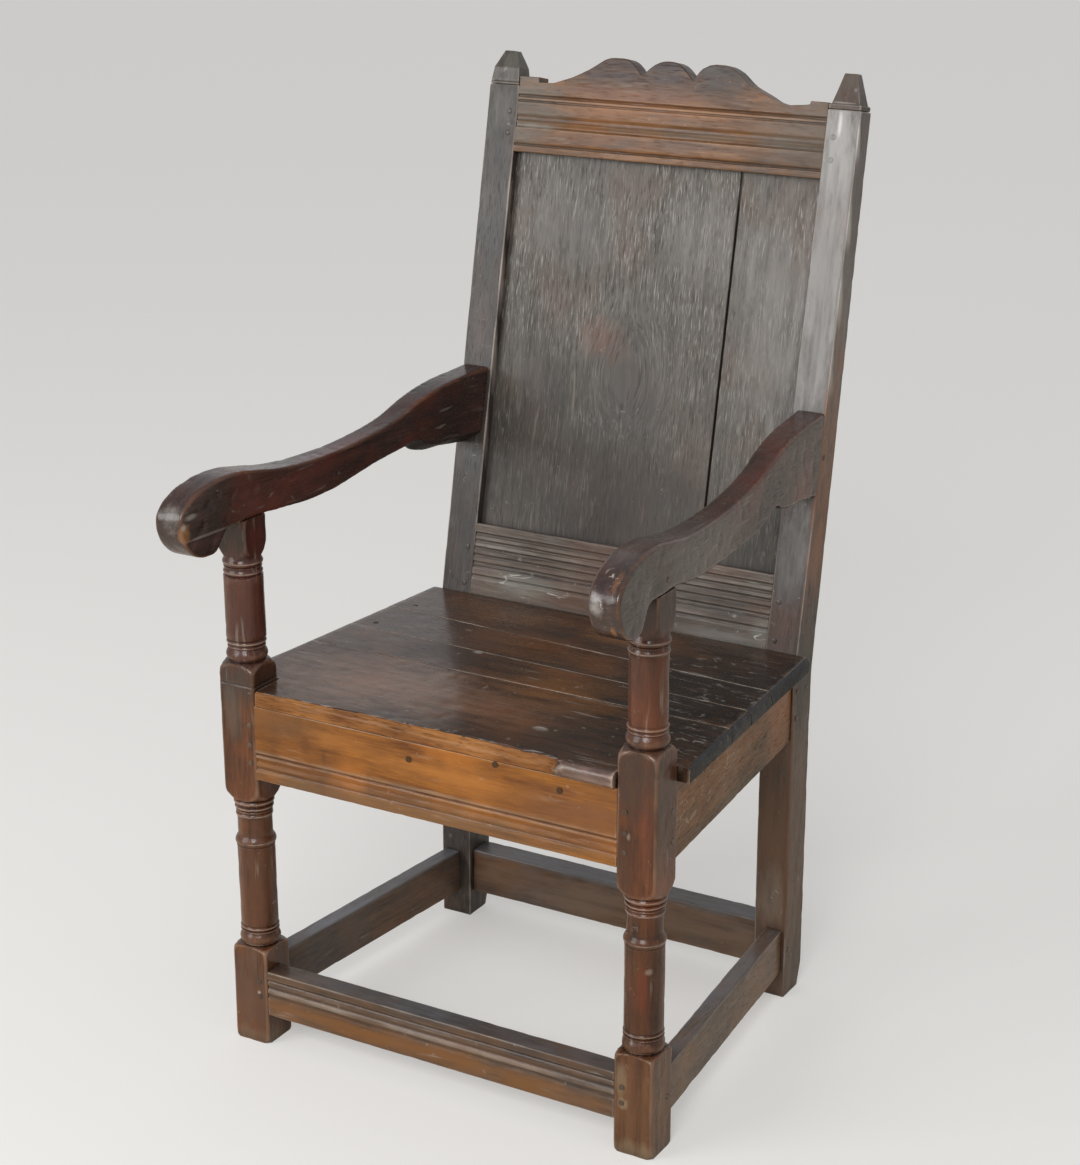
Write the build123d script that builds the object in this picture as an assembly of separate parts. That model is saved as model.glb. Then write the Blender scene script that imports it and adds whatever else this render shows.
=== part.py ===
from build123d import *
import os
from math import atan, cos, degrees, radians, sin, tan

# A joined oak armchair with a panelled back, made of separate members held by
# pegged mortise-and-tenon joints.  Millimetres, +Z up, the sitter faces -Y.
# Left is -X and right is +X, as seen by someone facing the chair.  The members
# are drawn about the middle of the frame's depth, and at the end the whole
# chair is moved so that its origin is the middle of its box, on the floor.

# ---------------------------------------------------------------- main frame
front_width = 556.0        # outside the front legs
rear_width = 491.0         # outside the rear posts
frame_depth = 459.0        # front leg's front face to rear post's back face
seat_height = 445.0        # top of the seat boards
bend_height = 412.0        # where the rear posts start to lean back
post_height = 1060.0       # front top corner of the rear posts
back_rake = 9.7            # degrees, lean of the posts' back faces

# ---------------------------------------------------------------- members
leg_square = 48.0          # front legs' square blocks
block_over_stretcher = 23.0
block_under_rail = 19.0
block_over_seat = 19.0
cap_block_height = 31.0    # square block under the arm, full-width part
cap_square = 41.0          # smaller square block under the arm
post_width = 42.0          # rear posts, across the chair
post_depth = 50.0          # rear posts, front to back, up to the bend
post_top_depth = 29.0      # the same at the top
seat_thickness = 18.0
seat_rail_height = 90.0
front_rail_thickness = 30.0
side_rail_thickness = 24.0
rear_rail_thickness = 30.0
rear_rail_setback = 2.0    # behind the posts' front faces
side_rail_inset = 3.0      # behind the legs' and posts' outer faces
front_rail_setback = 1.0   # behind the front legs' faces

# ---------------------------------------------------------------- stretchers
front_stretcher_bottom = 38.0
front_stretcher_height = 57.0
front_stretcher_thickness = 29.0
side_stretcher_bottom = 33.0
side_stretcher_height = 57.0
side_stretcher_thickness = 22.0
side_stretcher_inset = 5.0
rear_stretcher_bottom = 33.0
rear_stretcher_height = 59.0
rear_stretcher_thickness = 34.0
rear_stretcher_setback = 8.0

# ---------------------------------------------------------------- back
top_rail_depth = 85.0      # bottom edge to the cresting's square lugs
lug_over_post = 7.0        # lugs above the posts' front corners
crest_over_lug = 33.0      # lobes of the cresting above the lugs
crest_shift = -9.0         # the sawn pattern sits a little left of the middle
rail_over_seat_rail = 2.0   # lower back rail above the rear seat rail
lower_rail_depth = 98.0    # heights on the posts' front faces
back_rail_thickness = 24.0
panel_thickness = 9.0
panel_setback = 12.0       # panel's face behind the frame's face
panel_groove = 8.0         # depth of the grooves that hold the panel
panel_narrow_width = 103.0 # right post to the open joint between the boards
panel_joint_gap = 2.6

# ---------------------------------------------------------------- arms
arm_height = 643.0         # underside of the arm, on top of the leg
arm_thickness = 36.0
arm_inset = 3.0            # inside the front leg's outer face
hand_length = 121.0        # leg's axis to the front of the hand-hold
hand_drop = 26.5           # how far the hand-hold hangs below the leg's top
hand_rise = 57.5           # top of the hand-hold above the leg's top
arm_rise = 78.5            # top of the arm at the post, above the leg's top
arm_end_drop = 16.0        # underside at the post, below the leg's top
hand_neck = 37.0           # leg's axis to where the underside turns down to the hand-hold

# ---------------------------------------------------------------- finials
finial_width = 40.0
finial_depth = 29.0
finial_block = 15.0        # upright part under the pyramid
finial_height = 41.0
finial_shoulder = 21.0     # height where the pyramid starts
finial_top_width = 17.0
finial_top_depth = 13.0
dowel_radius = 5.0
dowel_depth = 14.0         # into the post and into the finial

# ---------------------------------------------------------------- seat
nosing = 6.0               # front overhang past the legs' faces
seat_side_front = 13.0     # side overhang past the front legs
seat_side_rear = 17.0      # side overhang past the rear posts
nose_radius = 7.0
seat_gap = 0.8             # open joints between the boards
notch_gap = 1.2            # round the front legs
# where each joint meets the seat's left and right sides, forward of mid-depth
seat_joints = [(-54.0, -59.0), (18.0, -2.0), (95.0, 63.0)]

# ---------------------------------------------------------------- joinery
tenon_thickness = 8.0
front_tenon_length = 30.0
side_tenon_front = 23.0    # side members' tenons, into the front legs
side_tenon_rear = 28.0     # and into the rear posts
rear_tenon_length = 20.0
rear_tenon_setback = 20.5  # behind the posts' front faces
back_tenon_length = 24.0
arm_tenon_thickness = 10.0
arm_tenon_length = 22.0
leg_tenon_square = 18.0
leg_tenon_height = 26.0
tenon_margin = 9.0         # members are this much taller than their tenons
peg_radius = 4.0
peg_proud = 0.6
peg_setback = 10.5         # peg's centre from the joint's shoulder
fit = 0.1                  # round each tenon in its mortise
peg_fit = 0.05             # round each peg in its hole
nail_radius = 1.6
nail_head_radius = 3.5
nail_head_height = 1.2
nail_length = 34.0

# ---------------------------------------------------------------- worked out
leg_x = front_width / 2 - leg_square / 2
front_y = -frame_depth / 2
rear_y = frame_depth / 2
leg_y = front_y + leg_square / 2
leg_back_y = front_y + leg_square
post_front_y = rear_y - post_depth
post_outer_x = rear_width / 2
post_inner_x = post_outer_x - post_width
post_x = post_outer_x - post_width / 2
seat_under = seat_height - seat_thickness
seat_rail_bottom = seat_under - seat_rail_height

back_slope = tan(radians(back_rake))
lean_rise = post_height - bend_height
front_slope = back_slope + (post_depth - post_top_depth) / lean_rise
face_angle = degrees(atan(front_slope))
face_cos = cos(radians(face_angle))
post_lean = (back_rake + face_angle) / 2
# The lower back rail's rear corner is its lowest, because the back leans.
lower_rail_bottom = (seat_under + rail_over_seat_rail
                     + back_rail_thickness * sin(radians(face_angle)))
lower_rail_top = lower_rail_bottom + lower_rail_depth
top_rail_lug = post_height + lug_over_post
top_rail_bottom = top_rail_lug - top_rail_depth
crest_height = top_rail_lug + crest_over_lug
panel_joint_x = post_inner_x - panel_narrow_width


def front_face_y(height):
    """Front face of the leaning part of the posts, at a height."""
    return post_front_y + (height - bend_height) * front_slope


# The back is drawn flat in its own frame: X across, Y from the posts' front
# face backwards, Z up along that face from the bend.
back_frame = Pos(0, post_front_y, bend_height) * Rot(-face_angle, 0, 0)


def up_face(height):
    """Distance up the leaning front face, for a height on it."""
    return (height - bend_height) / face_cos


def block(x0, x1, y0, y1, z0, z1):
    """A box from its low and high corners."""
    size = Box(x1 - x0, y1 - y0, z1 - z0)
    return Pos((x0 + x1) / 2, (y0 + y1) / 2, (z0 + z1) / 2) * size


def grown(x0, x1, y0, y1, z0, z1):
    """The mortise for a tenon of these corners."""
    return block(x0 - fit, x1 + fit, y0 - fit, y1 + fit, z0 - fit, z1 + fit)


def peg_along_y(x, z, y0, y1, radius):
    return Pos(x, y0, z) * Rot(-90, 0, 0) * Cylinder(
        radius, y1 - y0, align=(Align.CENTER, Align.CENTER, Align.MIN))


def peg_along_x(y, z, x0, x1, radius):
    return Pos(x0, y, z) * Rot(0, 90, 0) * Cylinder(
        radius, x1 - x0, align=(Align.CENTER, Align.CENTER, Align.MIN))


def other_side(solid):
    return mirror(solid, about=Plane.YZ)


def scratched(member, grooves, frame, length):
    """Rounded grooves run along a member's face with a scratch stock."""
    for height, depth, radius in grooves:
        cutter = Pos(-length / 2, depth - radius, height) * Rot(0, 90, 0) * Cylinder(
            radius, length, align=(Align.CENTER, Align.CENTER, Align.MIN))
        member -= frame * cutter
    return member


# ---------------------------------------------------------------- tenons
# Each entry is a box on the right-hand side of the chair.
shoulder_y = front_y + 14.0
front_rail_tenon = (leg_x - leg_square / 2, leg_x - leg_square / 2 + front_tenon_length,
                    shoulder_y, shoulder_y + tenon_thickness,
                    seat_rail_bottom + tenon_margin, seat_under - tenon_margin)
front_stretcher_tenon = front_rail_tenon[:4] + (
    front_stretcher_bottom + tenon_margin,
    front_stretcher_bottom + front_stretcher_height - tenon_margin)


def side_tenons(thickness, inset, bottom, height):
    """Front and rear tenons of a member that runs along the chair's side."""
    front_x = front_width / 2 - inset - thickness / 2
    rear_x = post_outer_x - inset - thickness / 2
    half = tenon_thickness / 2
    z0, z1 = bottom + tenon_margin, bottom + height - tenon_margin
    front = (front_x - half, front_x + half, leg_back_y - side_tenon_front, leg_back_y, z0, z1)
    rear = (rear_x - half, rear_x + half, post_front_y, post_front_y + side_tenon_rear, z0, z1)
    return front, rear


side_rail_tenons = side_tenons(side_rail_thickness, side_rail_inset,
                               seat_rail_bottom, seat_rail_height)
side_stretcher_tenons = side_tenons(side_stretcher_thickness, side_stretcher_inset,
                                    side_stretcher_bottom, side_stretcher_height)

rear_tenon_y = post_front_y + rear_tenon_setback
rear_rail_tenon = (post_inner_x, post_inner_x + rear_tenon_length,
                   rear_tenon_y, rear_tenon_y + tenon_thickness,
                   seat_rail_bottom + tenon_margin, seat_under - tenon_margin)
rear_stretcher_tenon = rear_rail_tenon[:4] + (
    rear_stretcher_bottom + tenon_margin,
    rear_stretcher_bottom + rear_stretcher_height - tenon_margin)

# In the back's own frame.
post_top_up = up_face(post_height)
back_tenon_y = (back_rail_thickness - tenon_thickness) / 2
top_rail_tenon = (post_inner_x, post_inner_x + back_tenon_length,
                  back_tenon_y, back_tenon_y + tenon_thickness,
                  up_face(top_rail_bottom) + panel_groove + 4.0,
                  post_top_up - dowel_depth - 6.0)
lower_rail_tenon = (post_inner_x, post_inner_x + back_tenon_length,
                    back_tenon_y, back_tenon_y + tenon_thickness,
                    up_face(lower_rail_bottom) + tenon_margin,
                    up_face(lower_rail_top) - panel_groove - 4.0)
arm_rear_x = post_outer_x - arm_thickness / 2
arm_tenon = (arm_rear_x - arm_tenon_thickness / 2, arm_rear_x + arm_tenon_thickness / 2,
             0.0, arm_tenon_length,
             up_face(arm_height) + 4.0, up_face(arm_height + arm_rise) - 18.0)

leg_tenon = (leg_x - leg_tenon_square / 2, leg_x + leg_tenon_square / 2,
             leg_y - leg_tenon_square / 2, leg_y + leg_tenon_square / 2,
             arm_height, arm_height + leg_tenon_height)

# ---------------------------------------------------------------- peg places
front_pegs = []            # (x, z), driven from the front face of the legs
for bottom, rises in ((seat_rail_bottom, (20.0, 42.0, 66.0)),
                      (front_stretcher_bottom, (23.0, 42.0))):
    for rise in rises:
        front_pegs.append((leg_x - leg_square / 2 + peg_setback, bottom + rise))

side_pegs = []             # (y, z, outer x, reach), driven from the chair's side
for bottom, rises in ((seat_rail_bottom, (27.0, 61.0)), (side_stretcher_bottom, (28.0,))):
    for rise in rises:
        side_pegs.append((leg_back_y - peg_setback, bottom + rise, front_width / 2, 31.0))
        side_pegs.append((post_front_y + peg_setback, bottom + rise, post_outer_x, 31.0))

rear_pegs = []             # (x, z), driven from the back of the posts
for bottom, rises in ((seat_rail_bottom, (27.0, 61.0)), (rear_stretcher_bottom, (30.0,))):
    for rise in rises:
        rear_pegs.append((post_inner_x + peg_setback, bottom + rise))

back_pegs = []             # (x, distance up the face), driven from the front
for tenon in (top_rail_tenon, lower_rail_tenon):
    for share in (0.25, 0.75):
        back_pegs.append((post_inner_x + peg_setback,
                          tenon[4] + share * (tenon[5] - tenon[4])))

front_peg_depth = 36.0
rear_peg_depth = 34.0
back_peg_depth = 24.0
arm_peg_up = (arm_tenon[4] + arm_tenon[5]) / 2
arm_peg_depth = 30.0


def front_peg_set(radius):
    return [peg_along_y(x, z, front_y - peg_proud, front_y + front_peg_depth, radius)
            for x, z in front_pegs]


def side_peg_set(radius):
    return [peg_along_x(y, z, x - reach, x + peg_proud, radius)
            for y, z, x, reach in side_pegs]


def rear_peg_set(radius):
    return [peg_along_y(x, z, rear_y - rear_peg_depth, rear_y + peg_proud, radius)
            for x, z in rear_pegs]


def back_peg_set(radius):
    return [back_frame * peg_along_y(x, up, -peg_proud, back_peg_depth, radius)
            for x, up in back_pegs]


def arm_peg_set(radius):
    """One through the post and the arm's tenon, one through arm and leg tenon."""
    at_post = back_frame * peg_along_x(peg_setback, arm_peg_up, post_outer_x - arm_peg_depth,
                                       post_outer_x + peg_proud, radius)
    arm_outer_x = front_width / 2 - arm_inset
    at_leg = peg_along_x(leg_y, arm_height + leg_tenon_height / 2, arm_outer_x - arm_peg_depth,
                         arm_outer_x + peg_proud, radius)
    return [at_post, at_leg]


def drilled(member, *peg_sets):
    for pegs in peg_sets:
        for hole in pegs(peg_radius + peg_fit):
            member -= hole
    return member


# ---------------------------------------------------------------- front legs
# Between its square blocks the stock is turned to a plain column with rings at
# its foot and head.  The corners of the blocks are rounded over where the
# turning starts.  Heads are given as radius and distance below their block.
corner = leg_square * 0.75             # outside the square's corners
ring = leg_square / 2 - 0.4
shaft = ring - 1.5
upper_shaft = ring - 2.1
neck = ring - 3.6
fillet_radius = ring - 2.8
cap_corner = cap_square * 0.75



def column_foot(block_top, shoulder, column_radius):
    """Rings on top of a square block, up to where the plain column starts."""
    step = block_top + shoulder
    return [(corner, block_top), (ring + 1.0, step), (fillet_radius, step + 1.0),
            (ring, step + 4.0), (ring, step + 12.0), (fillet_radius, step + 15.0),
            (fillet_radius, step + 19.0), (ring - 1.0, step + 21.0),
            (ring - 1.0, step + 24.0), (column_radius, step + 27.0)]


lower_head = [
    (shaft, 72.0), (ring, 69.0), (ring, 61.0), (neck, 58.0), (neck, 37.0), (ring - 2.0, 34.0),
    (ring - 2.0, 29.0), (neck + 0.8, 27.0), (ring - 1.0, 25.0), (ring - 1.0, 21.0),
    (neck + 1.6, 19.0), (ring, 17.0), (ring, 13.0), (corner, 0.0)]
upper_head = [
    (upper_shaft, 38.0), (ring - 1.2, 35.0), (ring - 1.2, 30.0), (neck + 1.0, 28.0),
    (ring - 0.4, 25.0), (ring - 0.4, 18.0), (ring - 2.0, 15.0), (cap_corner, 0.0)]


def column(foot, head, head_block, swell):
    """The turning between two blocks, with a slight swelling at its middle."""
    top = [(radius, head_block - drop) for radius, drop in head]
    middle = (foot[-1][0] + swell, (foot[-1][1] + top[0][1]) / 2)
    return foot + [middle] + top


foot_block_top = front_stretcher_bottom + front_stretcher_height + block_over_stretcher
middle_block_bottom = seat_rail_bottom - block_under_rail
middle_block_top = seat_height + block_over_seat
cap_block_bottom = arm_height - cap_block_height

outline = [(0.0, 0.0), (corner, 0.0)]
outline += column(column_foot(foot_block_top, 4.0, shaft), lower_head, middle_block_bottom, 0.6)
outline += column(column_foot(middle_block_top, 10.0, upper_shaft), upper_head,
                  cap_block_bottom, 0.4)
outline += [(cap_corner, arm_height), (0.0, arm_height)]

half_leg = leg_square / 2
half_cap = cap_square / 2
turned = revolve(Plane.XZ * make_face(Polyline(*outline, close=True)), Axis.Z)
cap_start = outline[-4][1]
stock = block(-half_leg, half_leg, -half_leg, half_leg, 0.0, cap_start)
stock += block(-half_cap, half_cap, -half_cap, half_cap, cap_start, arm_height)
front_leg = Pos(leg_x, leg_y, 0) * (turned & stock)
front_leg += block(*leg_tenon)
for tenon in (front_rail_tenon, front_stretcher_tenon,
              side_rail_tenons[0], side_stretcher_tenons[0]):
    front_leg -= grown(*tenon)
front_leg = drilled(front_leg, front_peg_set, side_peg_set, arm_peg_set)

# ---------------------------------------------------------------- rear posts
lean_cos = cos(radians(post_lean))
lean_sin = sin(radians(post_lean))
post_top_length = post_top_depth / (lean_cos + lean_sin * back_slope)
post_top_front = (front_face_y(post_height), post_height)
post_top_back = (post_top_front[0] + post_top_length * lean_cos,
                 post_top_front[1] - post_top_length * lean_sin)
post_side = Polyline((post_front_y, 0), (rear_y, 0), (rear_y, bend_height), post_top_back,
                     post_top_front, (post_front_y, bend_height), close=True)
rear_post = Pos(post_inner_x, 0, 0) * extrude(Plane.YZ * make_face(post_side), post_width)

panel_groove_box = (post_inner_x - 1.0, post_inner_x + panel_groove,
                    panel_setback - fit, panel_setback + panel_thickness + fit,
                    up_face(lower_rail_top) - panel_groove,
                    up_face(top_rail_bottom) + panel_groove)
rear_post -= back_frame * block(*panel_groove_box)
for tenon in (side_rail_tenons[1], side_stretcher_tenons[1],
              rear_rail_tenon, rear_stretcher_tenon):
    rear_post -= grown(*tenon)
for tenon in (top_rail_tenon, lower_rail_tenon, arm_tenon):
    rear_post -= back_frame * grown(*tenon)
rear_post = drilled(rear_post, side_peg_set, rear_peg_set, back_peg_set, arm_peg_set)

# The finial stands on the middle of the post's sloping top, on a dowel.
finial_frame = Pos(post_x, (post_top_front[0] + post_top_back[0]) / 2,
                   (post_top_front[1] + post_top_back[1]) / 2) * Rot(-post_lean, 0, 0)
dowel_bottom = Align.CENTER, Align.CENTER, Align.MIN
dowel_hole = finial_frame * Pos(0, 0, -dowel_depth) * Cylinder(
    dowel_radius + peg_fit, 2 * dowel_depth, align=dowel_bottom)
finial_dowel = finial_frame * Pos(0, 0, -dowel_depth) * Cylinder(
    dowel_radius, 2 * dowel_depth, align=dowel_bottom)
rear_post -= dowel_hole

# ---------------------------------------------------------------- finials
shoulder_width = finial_width - 4.0
shoulder_depth = finial_depth - 3.0
finial = extrude(Rectangle(finial_width, finial_depth), finial_block)
finial += loft([Pos(0, 0, finial_block) * Rectangle(finial_width, finial_depth),
                Pos(0, 0, finial_shoulder) * Rectangle(shoulder_width, shoulder_depth)])
finial += loft([Pos(0, 0, finial_shoulder) * Rectangle(shoulder_width, shoulder_depth),
                Pos(0, 0, finial_height) * Rectangle(finial_top_width, finial_top_depth)])
finial = finial_frame * finial - dowel_hole

# ---------------------------------------------------------------- front rail
inner_leg_x = leg_x - leg_square / 2
front_rail_grooves = [(seat_rail_bottom + 31.5, 1.4, 2.0), (seat_rail_bottom + 24.0, 1.0, 2.6),
                      (seat_rail_bottom + 15.0, 1.2, 2.0)]


def cross_member(half_length, y0, y1, z0, z1, tenon):
    """A rail or stretcher between two uprights, with its two tenons."""
    member = block(-half_length, half_length, y0, y1, z0, z1)
    member += block(*tenon)
    member += other_side(block(*tenon))
    return member


def drilled_both(member, *peg_sets):
    for pegs in peg_sets:
        for hole in pegs(peg_radius + peg_fit):
            member -= hole
            member -= other_side(hole)
    return member


front_face = Pos(0, front_y + front_rail_setback, 0)
front_rail = cross_member(inner_leg_x, front_y + front_rail_setback,
                          front_y + front_rail_thickness,
                          seat_rail_bottom, seat_under, front_rail_tenon)
front_rail = scratched(front_rail, front_rail_grooves, front_face, 2 * inner_leg_x)
front_rail = drilled_both(front_rail, front_peg_set)

stretcher_grooves = [(front_stretcher_bottom + 46.0, 1.4, 2.2),
                     (front_stretcher_bottom + 37.0, 1.2, 2.6),
                     (front_stretcher_bottom + 27.0, 1.2, 2.0)]
front_stretcher = cross_member(inner_leg_x, front_y + front_rail_setback,
                               front_y + front_stretcher_thickness, front_stretcher_bottom,
                               front_stretcher_bottom + front_stretcher_height,
                               front_stretcher_tenon)
front_stretcher = scratched(front_stretcher, stretcher_grooves, front_face, 2 * inner_leg_x)
front_stretcher = drilled_both(front_stretcher, front_peg_set)

# ---------------------------------------------------------------- rear members
rear_rail_y = post_front_y + rear_rail_setback
rear_rail = cross_member(post_inner_x, rear_rail_y, rear_rail_y + rear_rail_thickness,
                         seat_rail_bottom, seat_under, rear_rail_tenon)
rear_rail = drilled_both(rear_rail, rear_peg_set)

rear_stretcher_y = post_front_y + rear_stretcher_setback
rear_stretcher = cross_member(post_inner_x, rear_stretcher_y,
                              rear_stretcher_y + rear_stretcher_thickness,
                              rear_stretcher_bottom,
                              rear_stretcher_bottom + rear_stretcher_height,
                              rear_stretcher_tenon)
rear_stretcher = drilled_both(rear_stretcher, rear_peg_set)


# ---------------------------------------------------------------- side members
def side_member(thickness, inset, bottom, height, tenons):
    """A member that follows the splay of the chair's side."""
    front_x = front_width / 2 - inset
    rear_x = post_outer_x - inset
    plan = Polyline((front_x, leg_back_y), (rear_x, post_front_y),
                    (rear_x - thickness, post_front_y), (front_x - thickness, leg_back_y),
                    close=True)
    member = Pos(0, 0, bottom) * extrude(make_face(plan), height)
    for tenon in tenons:
        member += block(*tenon)
    return drilled(member, side_peg_set)


side_rail = side_member(side_rail_thickness, side_rail_inset, seat_rail_bottom,
                        seat_rail_height, side_rail_tenons)
side_stretcher = side_member(side_stretcher_thickness, side_stretcher_inset,
                             side_stretcher_bottom, side_stretcher_height,
                             side_stretcher_tenons)

# ---------------------------------------------------------------- top rail
# One board: moulded rail below, sawn cresting above.  The cresting has a
# middle lobe between two wider ones, whose backs sweep down to square lugs.
# Heights in the outline are measured on the posts' face.
rail_up = up_face(top_rail_bottom)
lug_up = up_face(top_rail_lug)
crest_up = up_face(crest_height)
valley_up = crest_up - 12.2
sweep_up = lug_up - 3.5
valley_x = 33.0            # from the middle of the pattern
lobe_x = 68.0
sweep_x = 105.0
heel_x = 152.0
lug_x = 172.0


def crest_half(side):
    """The outline from the middle lobe out to the post, on one side."""
    def at(x, up):
        return (crest_shift + side * x, up)
    end_x = side * post_inner_x
    middle = ThreePointArc(at(0, crest_up), at(valley_x * 0.55, crest_up - 3.4),
                           at(valley_x, valley_up))
    lobe = Spline(at(valley_x, valley_up), at(valley_x + 9, crest_up - 4.5),
                  at(lobe_x, crest_up - 0.3), at(lobe_x + 22, crest_up - 3.0),
                  at(sweep_x, crest_up - 14.5), at(sweep_x + 22, sweep_up + 7.5),
                  at(heel_x, sweep_up))
    lug = Polyline(at(heel_x, sweep_up), at(lug_x, sweep_up), at(lug_x, lug_up),
                   (end_x, lug_up), (end_x, rail_up))
    return [middle, lobe, lug]


crest_edges = Curve() + crest_half(1) + crest_half(-1)
crest_edges += Line((-post_inner_x, rail_up), (post_inner_x, rail_up))
board_face = make_face(crest_edges.edges())
top_rail = extrude(Plane.XZ * board_face, -back_rail_thickness)
top_rail += block(*top_rail_tenon)
top_rail += other_side(block(*top_rail_tenon))
top_rail = back_frame * top_rail
panel_slot = block(-post_inner_x - back_tenon_length, post_inner_x + back_tenon_length,
                   panel_setback - fit, panel_setback + panel_thickness + fit,
                   up_face(lower_rail_top) - panel_groove, rail_up + panel_groove)
top_rail -= back_frame * panel_slot
top_rail_grooves = [(rail_up + 68.0, 1.6, 2.2), (rail_up + 62.0, 1.2, 2.2),
                    (rail_up + 41.0, 1.6, 3.0), (rail_up + 33.0, 1.6, 3.0),
                    (rail_up + 9.0, 1.2, 2.0)]
top_rail = scratched(top_rail, top_rail_grooves, back_frame, 2 * post_inner_x)
top_rail = drilled_both(top_rail, back_peg_set)

# ---------------------------------------------------------------- lower rail
lower_up0 = up_face(lower_rail_bottom)
lower_up1 = up_face(lower_rail_top)
lower_rail = back_frame * cross_member(post_inner_x, 0.0, back_rail_thickness,
                                       lower_up0, lower_up1, lower_rail_tenon)
lower_rail -= back_frame * panel_slot
lower_rail_grooves = [(lower_up1 - drop, 1.5, 2.4)
                      for drop in (13.0, 22.5, 32.0, 49.0, 60.0)]
lower_rail = scratched(lower_rail, lower_rail_grooves, back_frame, 2 * post_inner_x)
lower_rail = drilled_both(lower_rail, back_peg_set)

# ---------------------------------------------------------------- panel
edge_play = 1.0            # left for the boards to move in their grooves
panel_up0 = lower_up1 - panel_groove + fit
panel_up1 = rail_up + panel_groove - edge_play
panel_edge_x = post_inner_x + panel_groove - edge_play
panel_wide = back_frame * block(-panel_edge_x, panel_joint_x - panel_joint_gap / 2,
                                panel_setback, panel_setback + panel_thickness,
                                panel_up0, panel_up1)
panel_narrow = back_frame * block(panel_joint_x + panel_joint_gap / 2, panel_edge_x,
                                  panel_setback, panel_setback + panel_thickness,
                                  panel_up0, panel_up1)

# ---------------------------------------------------------------- seat boards
seat_front_y = front_y - nosing
seat_back_y = front_face_y(seat_height) - fit
seat_front_x = front_width / 2 + seat_side_front
seat_rear_x = post_outer_x + seat_side_rear
side_slope = (seat_front_x - seat_rear_x) / (post_front_y - leg_back_y)


def seat_half_width(y):
    return seat_front_x - (y - leg_back_y) * side_slope


def seat_board(left_y0, left_y1, right_y0, right_y1):
    """A board across the seat between two joints, with rounded ends."""
    x_left = [-seat_half_width(y) for y in (left_y0, left_y1)]
    x_right = [seat_half_width(y) for y in (right_y0, right_y1)]
    plan = Polyline((x_left[0], left_y0), (x_right[0], right_y0), (x_right[1], right_y1),
                    (x_left[1], left_y1), close=True)
    return Pos(0, 0, seat_under) * extrude(make_face(plan), seat_thickness)


def rounded_ends(board):
    """Round the upper and lower edges that show round the seat's outside."""
    inside = seat_rear_x - 2.0
    ends = [edge for edge in board.edges()
            if abs(edge.center().X) > inside and abs(edge.tangent_at(0.5).Z) < 0.5
            and abs(edge.tangent_at(0.5).X) < 0.5]
    return fillet(ends, min(nose_radius, seat_thickness * 0.4))


def joint_edges(index):
    """Front and rear lines of the gap at a joint, left and right."""
    left, right = seat_joints[index]
    half = seat_gap / 2
    return (left - half, right - half), (left + half, right + half)


joint_lines = [joint_edges(index) for index in range(len(seat_joints))]
notch_x = inner_leg_x - notch_gap
notch_y = leg_back_y + notch_gap
front_board = seat_board(notch_y, joint_lines[0][0][0], notch_y, joint_lines[0][0][1])
front_board = rounded_ends(front_board)
tongue = block(-notch_x, notch_x, seat_front_y, notch_y, seat_under, seat_height)
tongue_nose = [edge for edge in tongue.edges() if edge.center().Y < seat_front_y + 0.5
               and abs(edge.tangent_at(0.5).X) > 0.5]
front_board += fillet(tongue_nose, min(nose_radius, seat_thickness * 0.4))

middle_front_board = rounded_ends(seat_board(
    joint_lines[0][1][0], joint_lines[1][0][0], joint_lines[0][1][1], joint_lines[1][0][1]))
middle_back_board = rounded_ends(seat_board(
    joint_lines[1][1][0], joint_lines[2][0][0], joint_lines[1][1][1], joint_lines[2][0][1]))
back_board = rounded_ends(seat_board(joint_lines[2][1][0], seat_back_y,
                                     joint_lines[2][1][1], seat_back_y))
# The back board's rear edge is bevelled to lie against the leaning posts.
behind_posts = back_frame * block(-front_width, front_width, -fit, 2 * post_depth,
                                  -post_depth, post_depth)
back_board -= behind_posts
# Its corners outside the posts are cut off in line with the posts' faces.
back_board -= block(-front_width, front_width, post_front_y, rear_y + post_depth,
                    seat_under - 1, seat_height + 1) - block(
                        -post_outer_x, post_outer_x, 0, rear_y + 2 * post_depth,
                        seat_under - 2, seat_height + 2)

# ---------------------------------------------------------------- nails
# Two nails hold each end of each seat board to the side rails, and three
# hold the front board to the front rail.
rail_middle_front = front_width / 2 - side_rail_inset - side_rail_thickness / 2
rail_middle_rear = post_outer_x - side_rail_inset - side_rail_thickness / 2


def side_rail_x(y):
    share = (y - leg_back_y) / (post_front_y - leg_back_y)
    return rail_middle_front + share * (rail_middle_rear - rail_middle_front)


def nail(x, y, top, turn=(0, 0, 0)):
    """A nail driven down from a point, head included."""
    shank = Cylinder(nail_radius, nail_length, align=(Align.CENTER, Align.CENTER, Align.MAX))
    head = Cylinder(nail_head_radius, nail_head_height,
                    align=(Align.CENTER, Align.CENTER, Align.MIN))
    return Pos(x, y, top - nail_head_height) * (shank + head)


nail_sink = 0.3
nail_margin = 16.0
board_spans = [(notch_y, seat_joints[0]), (seat_joints[0], seat_joints[1]),
               (seat_joints[1], seat_joints[2]), (seat_joints[2], post_front_y)]


def span_ends(span, index):
    """A board's front and rear lines on one side, 0 for left and 1 for right."""
    ends = []
    for line in span:
        ends.append(line[index] if isinstance(line, tuple) else line)
    return ends


seat_nails = []
for span in board_spans:
    for side, index in ((-1, 0), (1, 1)):
        y0, y1 = span_ends(span, index)
        for y in (y0 + nail_margin, y1 - nail_margin):
            seat_nails.append(nail(side * side_rail_x(y), y, seat_height - nail_sink))

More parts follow.
